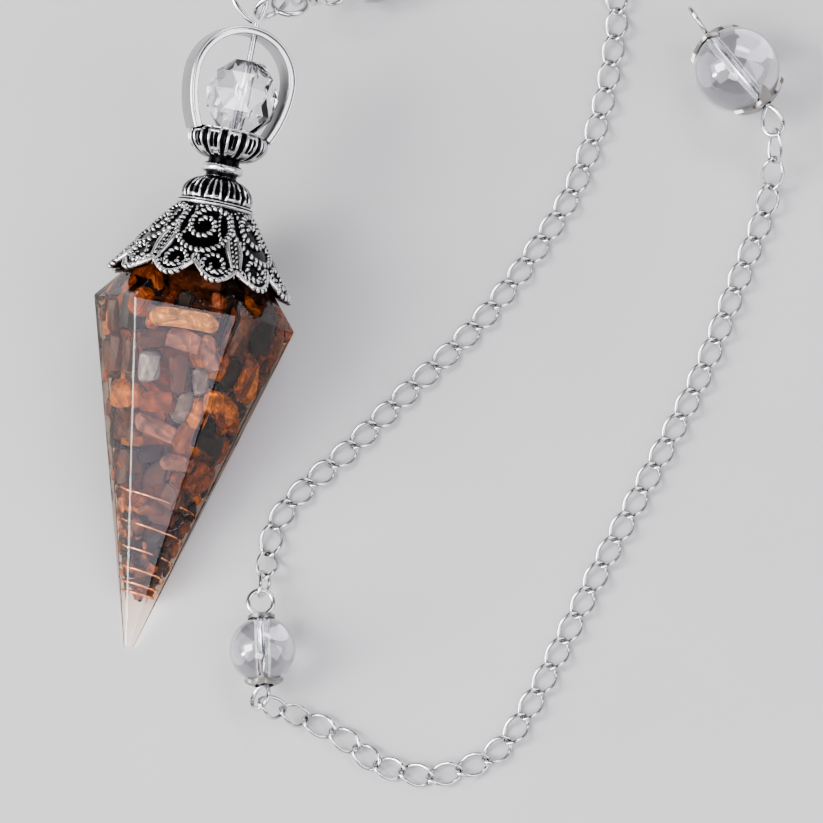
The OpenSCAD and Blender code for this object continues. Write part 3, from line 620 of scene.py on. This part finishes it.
# How far across the axis chips are tried, by the facets' distance, and the room they leave, by size
ACROSS, MIDDLE_SHARE, CHIP_ROOM, FRONT_ROOM, CHIP_SEED = 1.15, 0.4, 0.3, 0.4, 11
SLIVERS_FROM, SLIVERS_TO, SLIVER_TRIES, SLIVER_SIZE = 5.5, POINT_L - 0.4, 420, (0.25, 0.55)
# Least distances in chip sizes: to the solids' chips, between chips and between slivers
FROM_SOLIDS, CHIPS_APART, SLIVERS_APART = 0.4, 0.5, 0.62


def crowded(p, size, taken, share):
    return any((p - q).length < share * (size + other) for q, other in taken)


def small_chips(tree, rng):
    """Chips behind and between the solids' chips: large ones first, then smaller ones."""
    taken, out = [], []
    for low, high, tries, core, last in CHIP_CLASSES:
        for _ in range(tries):
            s = rng.uniform(CHIPS_FROM, last)
            reach = ACROSS * facet_reach(s) * (MIDDLE_SHARE if core else 1)
            x, y = rng.uniform(-reach, reach), rng.uniform(-reach, reach)
            size = rng.uniform(low, high)
            front = nearest_facet(x, y).y < -0.9 and s > COIL_LOW + COIL_L
            margin = FRONT_COVER + FRONT_ROOM * size if front else CHIP_COVER + CHIP_ROOM * size
            if not inside_resin((x, y, s), margin):
                continue
            p = axis_point(x, y, s)
            if tree.find_nearest(p)[3] < FROM_SOLIDS * size or crowded(p, size, taken, CHIPS_APART):
                continue
            # Chips in the middle take the darker colours, which are painted shade
            tones = BEHIND_FRONT if front else MIDDLE_SHADE_TONES if core else MIX
            made = shard((x, y, s), size, rng, rng.choice(tones))
            if made:
                taken.append((p, size))
                out.append(made)
    return out


def edge_slivers(rng):
    """Upright slivers along the six edges."""
    taken, out = [], []
    for k in range(6):
        way = heading(60 * k)
        for _ in range(SLIVER_TRIES):
            s = rng.uniform(SLIVERS_FROM, SLIVERS_TO)
            size = rng.uniform(*SLIVER_SIZE) * min(3.5, facet_reach(s) - 0.8)
            r = facet_reach(s) / FLAT - 1.2 * CHIP_COVER - 0.6 * size
            p = axis_point(way.x * r, way.y * r, s)
            if crowded(p, size, taken, SLIVERS_APART):
                continue
            made = shard((way.x * r, way.y * r, s), size, rng, rng.choice(MIX), way)
            if made:
                taken.append((p, size))
                out.append(made)
    return out


def fill_chips():
    rng = random.Random(CHIP_SEED)
    points, faces, tones = chip_islands(NODES["stone_chips"], rng)
    tree = BVHTree.FromPolygons([tuple(p) for p in points], faces)
    return [(points, faces, tones)] + small_chips(tree, rng) + edge_slivers(rng)


piece("stone_chips_set", fill_chips(), STONE, replaces=["stone_chips"], angle=40, toned=True)


# Copper coil

# The share of the coil's length that its turns take evenly; they widen apart over the rest
COIL_EVEN = 0.25


def coil_path(steps):
    path = []
    for i in range(int(COIL_TURNS * steps) + 1):
        turn = i / steps
        t = turn / COIL_TURNS
        s = COIL_LOW + COIL_L * (COIL_EVEN * t + (1 - COIL_EVEN) * t * t)
        r = facet_reach(s) - COIL_CLEAR
        a = -2 * math.pi * turn
        path.append(axis_point(r * math.cos(a), r * math.sin(a), s))
    return path


piece("copper_spiral", [wire(coil_path(48), COIL_WIRE / 2, 10)], COPPER, replaces=["copper_coil"])


# Cap: filigree cone

THROAT_R, ROOF_S, CONE_STEPS, CONE_ROWS = 1.2, COLLAR_S - 1.1, 216, 12
LIP_IN, LIP_OUT, BORDER_NOTCH = 0.15, 0.05, 0.75
LIP_WIRE_R, LIP_WIRE_RISE, LIP_ROPE_RISE, LIP_ROPE_LIFT = 0.23, 0.26, 0.82, 0.01
THICK, THIN, ROPE_PITCH, ROPE_LIFT, LEAF_LIFT = 0.2, 0.17, 0.5, 0.04, 0.02
SCROLL_START, SCROLL_PITCH, SCROLL_STEPS, BIG_WIRE, SMALL_WIRE = 170, 0.52, 96, 0.36, 0.3
CONE_WEAR, LEAF_WEAR = 0.15, 0.7
# Scrolls: sideways place, share of the way up the cone, turns, and the radius by share of the run
BIG_SCROLL = (0.0, 0.7, 2.0, [(0, 2.55), (0.26, 2.4), (0.46, 1.3), (0.75, 0.9), (1, 0.64)])
SMALL_SCROLLS = [(x, 0.21, 1.6, [(0, 1.42), (0.36, 1.28), (0.58, 0.66), (1, 0.52)]) for x in (-2.0, 2.0)]
# Ropes as (sideways place, station): the fork under the big scroll, the one above it, and the borders'
FORK = [(0.16, 36.5), (0.2, 35.9), (0.35, 35.2)]
TOP_ROPE = [(-1.3, 40.35), (0, 40.6), (1.3, 40.35)]
BORDER_ROPES = [[(0.16, 35.4), (0.22, 38.0), (0.16, 40.4)],
                [(0.95, 36.9), (1.2, 38.0), (1.05, 39.4), (0.6, 40.4)]]
# The spine of a leaf, as (sideways place, share of the way up the cone), and its radii
LEAF_SPINE = [(0.28, 0.1), (0.5, 0.3), (0.62, 0.45), (0.45, 0.6), (0.2, 0.7)]
LEAF_THIN, LEAF_SWELL = 0.06, 0.24


def on_cap(x, y, s):
    """A point of the cap, which is turned a little about the axis."""
    c, d = math.cos(math.radians(CAP_TURN)), math.sin(math.radians(CAP_TURN))
    return axis_point(c * x - d * y, d * x + c * y, s)


def cap_point(angle, r, s):
    a = math.radians(angle)
    return on_cap(r * math.cos(a), r * math.sin(a), s)


def cone_r(s):
    return RIM_R - LIP_R + (COLLAR_R - 0.25 - RIM_R) * (s - RIM_S) / CONE_H


def rim_station(angle):
    """The edge with two scallops to a panel, notched less deeply at the borders than between them."""
    a = math.radians(angle)
    low, middle = abs(math.sin(a * PANELS)), abs(math.sin(a * PANELS / 2))
    return RIM_S + SCALLOP_D * (1 - low) * (BORDER_NOTCH + (1 - BORDER_NOTCH) * middle)


def cone_section(angle):
    s = rim_station(angle)
    rows = [(cone_r(s + LIP_IN) - CONE_WALL, s + LIP_IN), (cone_r(s) - CONE_WALL / 2, s),
            (cone_r(s + LIP_OUT), s + LIP_OUT)]
    high = COLLAR_S + COLLAR_H / 2
    for k in range(CONE_ROWS + 1):
        h = s + LIP_OUT + (high - s - LIP_OUT) * k / CONE_ROWS
        rows.append((cone_r(h), h))
    rows += [(THROAT_R, high), (THROAT_R, ROOF_S), (cone_r(ROOF_S) - CONE_WALL, ROOF_S)]
    return [cap_point(angle, r, h) for r, h in rows]


def cone_normal(angle):
    out = heading(angle) + Vector((0, 0, (RIM_R - COLLAR_R) / CONE_H))
    return (on_cap(*out) - on_cap(0, 0, 0)).normalized()


def on_panel(centre, x, s, lift):
    """A point on or above the cone, sideways from a panel's middle, and the cone's normal there."""
    angle = centre + math.degrees(x / cone_r(s))
    return cap_point(angle, cone_r(s) + lift, s), cone_normal(angle)


def lookup(t, table):
    """A value that eases from row to row of a table."""
    for (a, p), (b, q) in zip(table, table[1:]):
        if t <= b:
            f = (t - a) / (b - a)
            f = f * f * (3 - 2 * f)
            return p + (q - p) * f
    return table[-1][1]


def sided(places, side):
    return [(side * x, height) for x, height in places]


def panel_rope(centre, places, radius):
    pairs = [on_panel(centre, x, s, ROPE_LIFT) for x, s in smooth_profile(places, 6)]
    return rope(*zip(*pairs), radius, ROPE_PITCH)


def scroll(centre, spec, radius):
    across, rise, turns, table = spec
    way = -1 if across > 0 else 1
    pairs = []
    for i in range(SCROLL_STEPS + 1):
        t = i / SCROLL_STEPS
        a = math.radians(SCROLL_START + 360 * turns * t)
        r = lookup(t, table)
        pairs.append(on_panel(centre, across + way * r * math.cos(a),
                              RIM_S + rise * CONE_H + r * math.sin(a), ROPE_LIFT))
    return rope(*zip(*pairs), radius, SCROLL_PITCH)


def lip(lift, rise):
    """A closed line along the scalloped edge, and its normals."""
    path, refs = [], []
    for i in range(360):
        s = rim_station(i) + rise
        path.append(cap_point(i, cone_r(s) + lift, s))
        refs.append(cone_normal(i))
    return path, refs


def leaf(centre, side):
    """A smooth leaf on the slope beside a border."""
    pairs = [on_panel(centre, x, RIM_S + share * CONE_H, LEAF_LIFT)
             for x, share in smooth_profile(sided(LEAF_SPINE, side), 5)]
    n = len(pairs) - 1
    radii = [LEAF_THIN + LEAF_SWELL * math.sin(math.pi * min(1, (i + 0.3) / (n + 0.6))) ** 1.2
             for i in range(n + 1)]
    points, faces = wire([p for p, _ in pairs], radii, 10, refs=[q for _, q in pairs])
    return points, faces, [LEAF_WEAR] * len(points)


def filigree():
    points, faces = sweep([cone_section(360 * k / CONE_STEPS) for k in range(CONE_STEPS)], True)
    parts = [(points, faces, [CONE_WEAR] * len(points))]
    path, refs = lip(0, LIP_WIRE_RISE)
    parts.append(wire(path, LIP_WIRE_R, 12, closed=True, refs=refs))
    path, refs = lip(LIP_ROPE_LIFT, LIP_ROPE_RISE)
    parts.append(rope(path + [path[0]], refs + [refs[0]], THICK, ROPE_PITCH))
    for k in range(PANELS):
        centre = -90 + 360 / PANELS * k
        border = centre + 180 / PANELS
        parts.append(scroll(centre, BIG_SCROLL, BIG_WIRE))
        parts += [scroll(centre, spec, SMALL_WIRE) for spec in SMALL_SCROLLS]
        parts += [panel_rope(centre, sided(FORK, side), THIN) for side in (-1, 1)]
        for side in (-1, 1):
            parts.append(leaf(border, side))
            parts += [panel_rope(border, sided(places, side), THICK) for places in BORDER_ROPES]
        parts.append(panel_rope(centre, TOP_ROPE, THIN))
    return parts


# Cap: cast stem, from the collar to the lotus cup

# Profiles as (radius, station)
COLLAR_ROWS = [
    (COLLAR_R - 0.5, COLLAR_S - 0.45), (COLLAR_R - 0.12, COLLAR_S - 0.1), (COLLAR_R, COLLAR_S + 0.14),
    (COLLAR_R - 0.02, COLLAR_S + COLLAR_H - 0.3), (COLLAR_R - 0.2, COLLAR_S + COLLAR_H - 0.05),
    (BUD_R - 0.3, BUD_S + 0.05),
]
BUD_ROWS = [
    (BUD_R - 0.45, BUD_S - 0.05), (BUD_R, BUD_S + 0.12), (BUD_R + 0.02, BUD_S + 0.4 * BUD_H),
    (0.82 * BUD_R, BUD_S + 0.78 * BUD_H), (NECK_R + 0.1, BUD_S + BUD_H), (NECK_R, BUD_S + BUD_H + 0.1),
]
NECK_ROWS = [(NECK_R, BUD_S + BUD_H - 0.1), (NECK_R, CUP_S + 0.1)]
KNOT_ROWS = [(KNOT_R - KNOT_WIRE + KNOT_WIRE * math.cos(a), KNOT_S + KNOT_WIRE * math.sin(a))
             for a in [math.radians(-170 + 20 * k) for k in range(18)]]
CUP_ROWS = [
    (NECK_R - 0.1, CUP_S), *((r * CUP_R, CUP_S + h * CUP_H) for r, h in (
        (0.66, 0.08), (0.9, 0.32), (1, 0.56), (0.985, 0.8), (0.9, 0.93))),
    (0.8 * CUP_R, CUP_TOP - 0.02), (0.4, CUP_TOP - 0.02),
]
PLATE_ROWS = [(0.84 * CUP_R, CUP_TOP - 0.3), (0.84 * CUP_R, CUP_TOP - 0.06), (0.82 * CUP_R, CUP_TOP),
              (0.42, CUP_TOP), (0.42, CUP_TOP - 1.5)]
GROOVE_D, GROOVE_H, GROOVE_HALF = 0.16, 0.22, 0.06
BUD_CARVING, CUP_CARVING, NECK_WEAR = 0.3, 0.34, 0.25


def petal_place(a, count):
    """The place across a petal, 0 at its middle and 1 at its edges."""
    return abs(2 * ((a * count / (2 * math.pi)) % 1) - 1)


def ridge(u, middle, half):
    return math.exp(-((u - middle) / half) ** 2)


def collar_groove(a, r, h):
    return GROOVE_D * math.exp(-((h - COLLAR_S - GROOVE_H) / GROOVE_HALF) ** 2)


def leafy(a, r, h):
    """The bud's carving: raised edges and midribs of the leaves."""
    share = min(1, max(0, (h - BUD_S) / BUD_H))
    u = petal_place(a, LEAVES)
    edge = 0.72 - 0.25 * share
    bright = max(ridge(u, edge, 0.15), ridge(u, 0, 0.16), 0.8 * ridge(share, 0.12, 0.1) * (u < edge))
    return BUD_CARVING * (1 - min(1, bright)) * math.sin(math.pi * share) ** 0.4


def fluted(a, r, h):
    """The cup's carving: raised sides, ends and midribs of the petals."""
    share = min(1, max(0, (h - CUP_S) / CUP_H))
    u = petal_place(a, PETALS)
    bright = max(ridge(u, 0.55, 0.22), ridge(share, 0.82, 0.07) * (u < 0.75),
                 ridge(share, 0.2, 0.1) * (u < 0.6), 0.9 * ridge(u, 0, 0.12) * (0.3 < share < 0.8),
                 ridge(share, 1, 0.09))
    return CUP_CARVING * (1 - min(1, bright)) * math.sin(math.pi * share ** 0.9) ** 0.4 if r > 1 else 0


def stem():
    points, faces, _ = lathe(NECK_ROWS, 48, on_cap)
    return [
        lathe(smooth_profile(COLLAR_ROWS, 10), 96, on_cap, collar_groove),
        lathe(smooth_profile(BUD_ROWS, 6), 240, on_cap, leafy),
        (points, faces, [NECK_WEAR] * len(points)),
        lathe(KNOT_ROWS, 72, on_cap),
        lathe(smooth_profile(CUP_ROWS, 6), 288, on_cap, fluted),
        lathe(PLATE_ROWS, 96, on_cap),
    ]


# Cap: polished ring

BAND_SINK, BAND_EDGE, BAND_GROOVE, ARCH_STEPS, FOOT_STEPS = 0.3, 0.14, 0.07, 96, 24


def arch_line(inset):
    """The ring's line (x, height) from foot to foot, this far inside its outer side."""
    side = math.asin((RING_LIFT + BAND_SINK) / (SIDE_ARC - BAND_T / 2))
    foot, out = [], []
    for i in range(FOOT_STEPS):
        a = side * (i / FOOT_STEPS - 1)
        r = SIDE_ARC - inset
        foot.append((RING_R - SIDE_ARC + r * math.cos(a), r * math.sin(a)))
    for i in range(ARCH_STEPS + 1):
        a = math.pi * i / ARCH_STEPS
        out.append(((RING_R - inset) * math.cos(a), (RING_R - inset) * math.sin(a)))
    return foot + out + [(-x, z) for x, z in reversed(foot)]


def band_outline():
    """The ring's section as (share across it, place along its width, wear and shade), with rounded edges
    and a groove along each side. The grooves stay dark as patina, and the wide outer and inner faces are
    darker than the narrow sides, which is painted shade."""
    half, edge = BAND_W / 2, BAND_EDGE / BAND_T
    side = [(0.76, half, 1.0), (0.7, half - BAND_GROOVE, 0.0), (0.64, half, 1.0), (0.4, half + 0.02, 1.0)]
    out = []
    for x, w, start in ((1 - edge, half - BAND_EDGE, 0), (edge, half - BAND_EDGE, 90),
                        (edge, -half + BAND_EDGE, 180), (1 - edge, -half + BAND_EDGE, 270)):
        for k in range(5):
            a = math.radians(start + 90 * k / 4)
            # Painted shade: the edges darken toward the wide faces, which are darker than the narrow sides
            bright = 0.55 + 0.45 * abs(math.sin(a))
            out.append((x + edge * math.cos(a), w + BAND_EDGE * math.sin(a), bright))
        if start == 0:
            out += side
        if start == 180:
            out += [(share, -w, bright) for share, w, bright in reversed(side)]
    return out


def ring_band():
    turn = math.radians(RING_TURN)
    outline = band_outline()
    rings = []
    for (ox, oz), (ix, iz) in zip(arch_line(0), arch_line(BAND_T)):
        ring = []
        for share, w, _ in outline:
            x, z = ix + (ox - ix) * share, iz + (oz - iz) * share
            ring.append(axis_point(x * math.cos(turn) - w * math.sin(turn),
                                   x * math.sin(turn) + w * math.cos(turn), RING_S + z))
        rings.append(ring)
    points, faces = sweep(rings, False)
    return points, faces, [bright for _ in rings for _, _, bright in outline]


# The cap's silver darkens with patina in its hollows and with painted shade on the ring's wide faces
piece("cap_silver", filigree() + stem() + [ring_band()], ANTIQUE,
      replaces=["cap"], angle=55, worn_and_shaded=True)


# Clear beads, lathed round their bores

UP = Vector((0, 0, 1))
# The chain is laid from the foot of the hanging loop
LOOP_FOOT = axis_point(PIN_SHIFT, 0, HANG_S)


def from_loop(x, y):
    return LOOP_FOOT.x + x, LOOP_FOOT.y + y


# Each bead's place, the heading of its bore and its diameter
UPPER = (from_loop(8.6, 11.5), 38.0, 6.0)
MID = (from_loop(11.7, -54.9), -76.0, 6.0)
END = (from_loop(43.7, 8.2), 139.0, 8.0)
BEAD_STEPS, BEAD_SIDES = 64, 96


def middle_of(spot):
    (x, y), _, d = spot
    return Vector((x, y, d / 2))


def bead(spot):
    _, angle, d = spot
    along, centre = heading(angle), middle_of(spot)
    side = UP.cross(along)
    r, bore = d / 2, BORE_D / 2
    first = math.asin(bore / r)
    angles = [first + (math.pi - 2 * first) * k / BEAD_STEPS for k in range(BEAD_STEPS + 1)]
    profile = [(r * math.sin(a), -r * math.cos(a)) for a in angles]
    profile += [(bore, r * math.cos(first) * (1 - k / 4)) for k in range(1, 9)]

    def place_point(x, y, h):
        return centre + along * h + side * x + UP * y

    return lathe(profile, BEAD_SIDES, place_point)


for name, spot in (("upper_bead", UPPER), ("mid_bead", MID), ("end_bead", END)):
    piece(name + "_glass", [bead(spot)], CRYSTAL, replaces=[name], angle=50)


# Pins and their eyes

PIN_SIDES, EYE_SIDES, LOOP_GAP, LOOP_STEPS, EYE_STEPS = 16, 14, 24, 64, 72
EYE_R = (EYE_D - EYE_WIRE) / 2
# Each eye's heading, its roll about that and its bend to the side
UPPER_IN_EYE, UPPER_OUT_EYE = (UPPER[1] + 180, 0, 0), (UPPER[1], 0, 0)
MID_IN_EYE, MID_OUT_EYE = (MID[1] + 180, 0, 0), (MID[1], 50, -20)
END_IN_EYE, END_OUT_EYE = (END[1] + 180, 20, -24), (END[1], 75, -7)


def drop_loop(l, w, wire_d):
    """A drop-shaped loop, open a little at its foot."""
    gap = math.radians(LOOP_GAP)
    path = []
    for i in range(LOOP_STEPS + 1):
        t = gap + (2 * math.pi - 2 * gap) * i / LOOP_STEPS
        path.append(Vector(((l - wire_d / 2) * (1 - math.cos(t)) / 2,
                            (w - wire_d) / 2 * math.sin(t) * math.sin(t / 2) ** 0.6, 0)))
    return path


def hanging_pin():
    start = CUP_TOP - PIN_SEAT + FIT
    shaft = [axis_point(PIN_SHIFT, 0, start + (HANG_S - start) * k / 8) for k in range(9)]
    lean = math.radians(HANG_LEAN)
    loop = [axis_point(PIN_SHIFT - p.x * math.sin(lean) - p.y * math.cos(lean), 0,
                       HANG_S + p.x * math.cos(lean) - p.y * math.sin(lean))
            for p in drop_loop(HANG_L, HANG_W, HANG_WIRE)]
    return [wire(shaft, PIN_D / 2, PIN_SIDES), wire(loop, HANG_WIRE / 2, EYE_SIDES)]


def round_start(spot):
    return spot[2] / 2 + FIT + EYE_WIRE / 2


def drop_start(spot):
    return spot[2] / 2 + 2 * FIT + BEAD_CAP_T


def eye_side(eye):
    way, roll, bend = eye
    a = math.radians(roll)
    return math.cos(a) * heading(way + bend + 90) + Vector((0, 0, math.sin(a)))


def round_point(spot, eye, a):
    """A point of a round eye, at an angle from its far end."""
    way, _, bend = eye
    t = math.radians(a)
    return (middle_of(spot) + round_start(spot) * heading(way)
            + EYE_R * (1 + math.cos(t)) * heading(way + bend) + EYE_R * math.sin(t) * eye_side(eye))


def drop_point(spot, eye):
    """The far end of a drop-shaped eye."""
    way, _, bend = eye
    return (middle_of(spot) + drop_start(spot) * heading(way)
            + (DROP_EYE_L - EYE_WIRE / 2) * heading(way + bend))


def shaft_wire(spot, start):
    return wire([middle_of(spot) + heading(spot[1]) * start * k / 4 for k in range(-4, 5)],
                PIN_D / 2, PIN_SIDES)


def round_pin(spot, eyes):
    parts = [shaft_wire(spot, round_start(spot))]
    for eye in eyes:
        path = [round_point(spot, eye, 360 * k / EYE_STEPS) for k in range(EYE_STEPS)]
        middle = sum(path, Vector()) / len(path)
        parts.append(wire(path, EYE_WIRE / 2, EYE_SIDES, closed=True, refs=[p - middle for p in path]))
    return parts


def drop_pin(spot, eyes):
    parts = [shaft_wire(spot, drop_start(spot))]
    for eye in eyes:
        way, _, bend = eye
        base = middle_of(spot) + drop_start(spot) * heading(way)
        ahead, side = heading(way + bend), eye_side(eye)
        path = [base + ahead * p.x + side * p.y for p in drop_loop(DROP_EYE_L, EYE_D, EYE_WIRE)]
        parts.append(wire(path, EYE_WIRE / 2, EYE_SIDES, refs=[ahead.cross(side)] * len(path)))
    return parts


for name, parts in (("hanging_pin", hanging_pin()),
                    ("upper_pin", round_pin(UPPER, [UPPER_IN_EYE, UPPER_OUT_EYE])),
                    ("mid_pin", round_pin(MID, [MID_IN_EYE, MID_OUT_EYE])),
                    ("end_pin", drop_pin(END, [END_IN_EYE, END_OUT_EYE]))):
    piece(name + "_wire", parts, PLATED, replaces=[name], angle=50)


# Chain: the same links as the solids, finer

LEFT_ROUTE = [
    (17.5, 17.2), (23.5, 19.7), (29, 18.3), (31.5, 13.7), (31.9, 9.3), (32, 3.9), (31.5, -1.6),
    (30.3, -7.2), (26.6, -16.2), (23.8, -21.4), (19.5, -27.8), (15.1, -34.6), (11.7, -39.2),
    (9.9, -43.6), (10.5, -46.2),
]
RIGHT_ROUTE = [
    (16.2, -59.8), (18.6, -60.3), (21.1, -61.1), (23.3, -62.9), (24.4, -62.3), (27.6, -63.2),
    (31.3, -61.7), (34.4, -59.2), (36.4, -54.3), (38.5, -46.6), (40.6, -38.9), (42.9, -31.1),
    (45.7, -21), (47.6, -10.4), (48.8, -2.9),
]
HOOK = LINK_WIRE / 2 + FIT / 2
LINK_ROLL, LINK_STEPS, LINK_SIDES, LINE_STEPS, RING_STEPS = 45, 40, 12, 8, 96
JUMP_R = (JUMP_D - JUMP_WIRE) / 2
UPPER_JUMP = (LOOP_FOOT + Vector((0.9, 2.07, -0.36)), Vector((-0.65, 0.87, -0.17)))
LOWER_JUMP = (LOOP_FOOT + Vector((2.4, 3.09, -1.68)), Vector((-0.09, 0.83, 1.37)))


def smooth_line(route):
    """A smooth line through the places, nowhere lower than links lie."""
    out = []
    for i in range(len(route) - 1):
        for k in range(LINE_STEPS):
            p = curve_point(*near_four(route, i), k / LINE_STEPS)
            out.append(Vector((p.x, p.y, max(p.z, LINK_Z))))
    return out + [route[-1]]


def joints(route):
    """The places where the links of a route hook into each other."""
    line = smooth_line(route)
    run = lengths(line)
    return [line[j].lerp(line[j + 1], share) for _, j, share in even_steps(run, round(run[-1] / PITCH))]


def link_wire(a, b, low, high):
    """One twisted link from joint to joint, rolled by low degrees at a and by high degrees at b."""
    along = (b - a).normalized()
    half = (b - a).length / 2 + HOOK
    side = UP.cross(along).normalized()
    up = along.cross(side)
    middle = (a + b) / 2
    path = []
    for k in range(LINK_STEPS):
        t = 2 * math.pi * (k + 0.5) / LINK_STEPS
        turn = math.radians((low + high) / 2 + (high - low) / 2 * math.cos(t))
        across = side * math.cos(turn) + up * math.sin(turn)
        path.append(middle + along * half * math.cos(t) + across * (LINK_W - LINK_WIRE) / 2 * math.sin(t))
    return wire(path, LINK_WIRE / 2, LINK_SIDES, closed=True, refs=[p - middle for p in path])


def strand(places, first, last):
    """A row of links whose first and last are rolled to the eyes that they hang in."""
    n = len(places) - 1
    return [link_wire(places[i], places[i + 1], first if i == 0 else -LINK_ROLL,
                      last if i == n - 1 else LINK_ROLL) for i in range(n)]


def hooked(place, toward, wire_d):
    """Where a strand starts that hooks round a wire at a place."""
    return place - (wire_d + FIT) / 2 * (toward - place).normalized()


def hooked_route(start, places, end):
    route = [Vector((*from_loop(x, y), LINK_Z)) for x, y in places]
    return [hooked(start, route[0], EYE_WIRE)] + route + [hooked(end, route[-1], EYE_WIRE)]


def jump_ring(centre, normal):
    n = normal.normalized()
    u = n.orthogonal().normalized()
    v = n.cross(u)
    path = [centre + JUMP_R * (u * math.cos(a) + v * math.sin(a)) for a in full_turn(RING_STEPS)]
    return wire(path, JUMP_WIRE / 2, PIN_SIDES, closed=True, refs=[p - centre for p in path])


left = hooked_route(round_point(UPPER, UPPER_OUT_EYE, 0), LEFT_ROUTE, round_point(MID, MID_IN_EYE, 0))
right = hooked_route(round_point(MID, MID_OUT_EYE, 50), RIGHT_ROUTE, drop_point(END, END_IN_EYE))
drop_to = round_point(UPPER, UPPER_IN_EYE, 0)
ring_normal = LOWER_JUMP[1].normalized()
reach = drop_to - LOWER_JUMP[0]
drop_from = LOWER_JUMP[0] + JUMP_R * (reach - reach.dot(ring_normal) * ring_normal).normalized()
drop = [hooked(drop_from, drop_to, JUMP_WIRE), hooked(drop_to, drop_from, EYE_WIRE)]

for name, kind, route, first, last in (("chain_left", "_links", left, 90, -90),
                                       ("chain_right", "_links", right, -40, -70),
                                       ("drop_links", "_wire", drop, 90, -90)):
    piece(name + kind, strand(joints(route), first, last), PLATED, replaces=[name])
for name, spec in (("jump_ring_upper", UPPER_JUMP), ("jump_ring_lower", LOWER_JUMP)):
    piece(name + "_wire", [jump_ring(*spec)], PLATED, replaces=[name])


# Carried-over solids and their finishes

CAP_EDGE = 65
faceted = NODES["faceted_bead"]
faceted.data.materials.clear()
faceted.data.materials.append(CRYSTAL)
soften(faceted, 0.06, 2)
for name in ("upper_cap_in", "upper_cap_out", "mid_cap_in", "mid_cap_out", "end_cap_in", "end_cap_out"):
    solid = NODES[name]
    points = [solid.matrix_world @ v.co / MM for v in solid.data.vertices]
    faces = [tuple(p.vertices) for p in solid.data.polygons]
    petals = piece(name + "_silver", [(points, faces)], CAP_SILVER, replaces=[name],
                   angle=CAP_EDGE)
    soften(petals, 0.035, 2, CAP_EDGE)


# Floor, light and camera

bpy.ops.mesh.primitive_plane_add(size=3)
floor = bpy.context.object
floor.name = "floor"
floor.data.materials.append(FLOOR)

TARGET = Vector((20.75, 11.15, 0)) * MM
AZIMUTH, ELEVATION, DISTANCE, LENS = 11.3, 72.4, 0.5, 237.74


def direction(azimuth, elevation):
    a, e = math.radians(azimuth), math.radians(elevation)
    return Vector((math.sin(a) * math.cos(e), -math.cos(a) * math.cos(e), math.sin(e)))


def aim(obj, back):
    """Turns a light or the camera so that back is behind it."""
    right = UP.cross(back).normalized()
    up = back.cross(right)
    obj.matrix_world = Matrix((
        (right.x, up.x, back.x, obj.location.x), (right.y, up.y, back.y, obj.location.y),
        (right.z, up.z, back.z, obj.location.z), (0, 0, 0, 1)))


def softbox(name, target, back, distance, width, height, radiance, colour=(1, 1, 1)):
    """A soft light panel of an even brightness, facing the target."""
    data = bpy.data.lights.new(name, "AREA")
    data.shape = "RECTANGLE"
    data.size, data.size_y = width, height
    data.energy = radiance * math.pi * width * height
    data.color = colour
    obj = new_object(name, data)
    obj.location = Vector(target) + back * distance
    aim(obj, back)


world = bpy.data.worlds.new("studio")
bpy.context.scene.world = world
world.use_nodes = True
tree = world.node_tree
coords = node(tree, "ShaderNodeTexCoord")
split = node(tree, "ShaderNodeSeparateXYZ")
link(tree, coords.outputs["Generated"], split.inputs["Vector"])
sky = ramp(tree, split.outputs["Z"], [(0.0, (0.9, 0.9, 0.92)), (0.5, (0.7, 0.7, 0.72)),
                                      (0.8, (0.3, 0.3, 0.32)), (1.0, (0.24, 0.24, 0.26))])
background = tree.nodes["Background"]
link(tree, sky, background.inputs["Color"])
background.inputs["Strength"].default_value = 0.35

# The facet panel is where the point's upper facet mirrors it to the camera
FACET_NORMAL = Vector((0, -math.sin(2 * LIE), math.cos(2 * LIE)))
camera_back = direction(AZIMUTH, ELEVATION)
facet_back = 2 * FACET_NORMAL.dot(camera_back) * FACET_NORMAL - camera_back
softbox("facet_light", (0, 0, 0.012), facet_back, 0.7, 0.3, 0.24, 5.6, (0.9, 0.88, 1.0))
softbox("left_light", (0.02, 0.01, 0), direction(-72, 40), 0.8, 0.28, 0.4, 12.0)
softbox("left_window", (0.02, 0.01, 0), direction(-60, 42), 0.85, 0.9, 0.9, 2.2, (0.95, 0.94, 1.0))
softbox("edge_light", (0, 0, 0.01), direction(-61, 14.9), 0.8, 0.1, 0.25, 26.0)
softbox("right_window", (0.02, 0.01, 0), direction(80, 45), 0.9, 0.7, 0.9, 2.4, (0.92, 0.9, 1.0))
softbox("back_light", (0.02, 0.01, 0), direction(170, 50), 0.9, 0.5, 0.2, 6.0)

camera_data = bpy.data.cameras.new("camera")
camera_data.sensor_width = 36
camera_data.lens = LENS
camera_data.clip_start = 0.01
camera_data.clip_end = 20
camera = new_object("camera", camera_data)
camera.location = TARGET + camera_back * DISTANCE
aim(camera, camera_back)
bpy.context.scene.camera = camera
bpy.context.scene.view_settings.look = "AgX - Medium High Contrast"
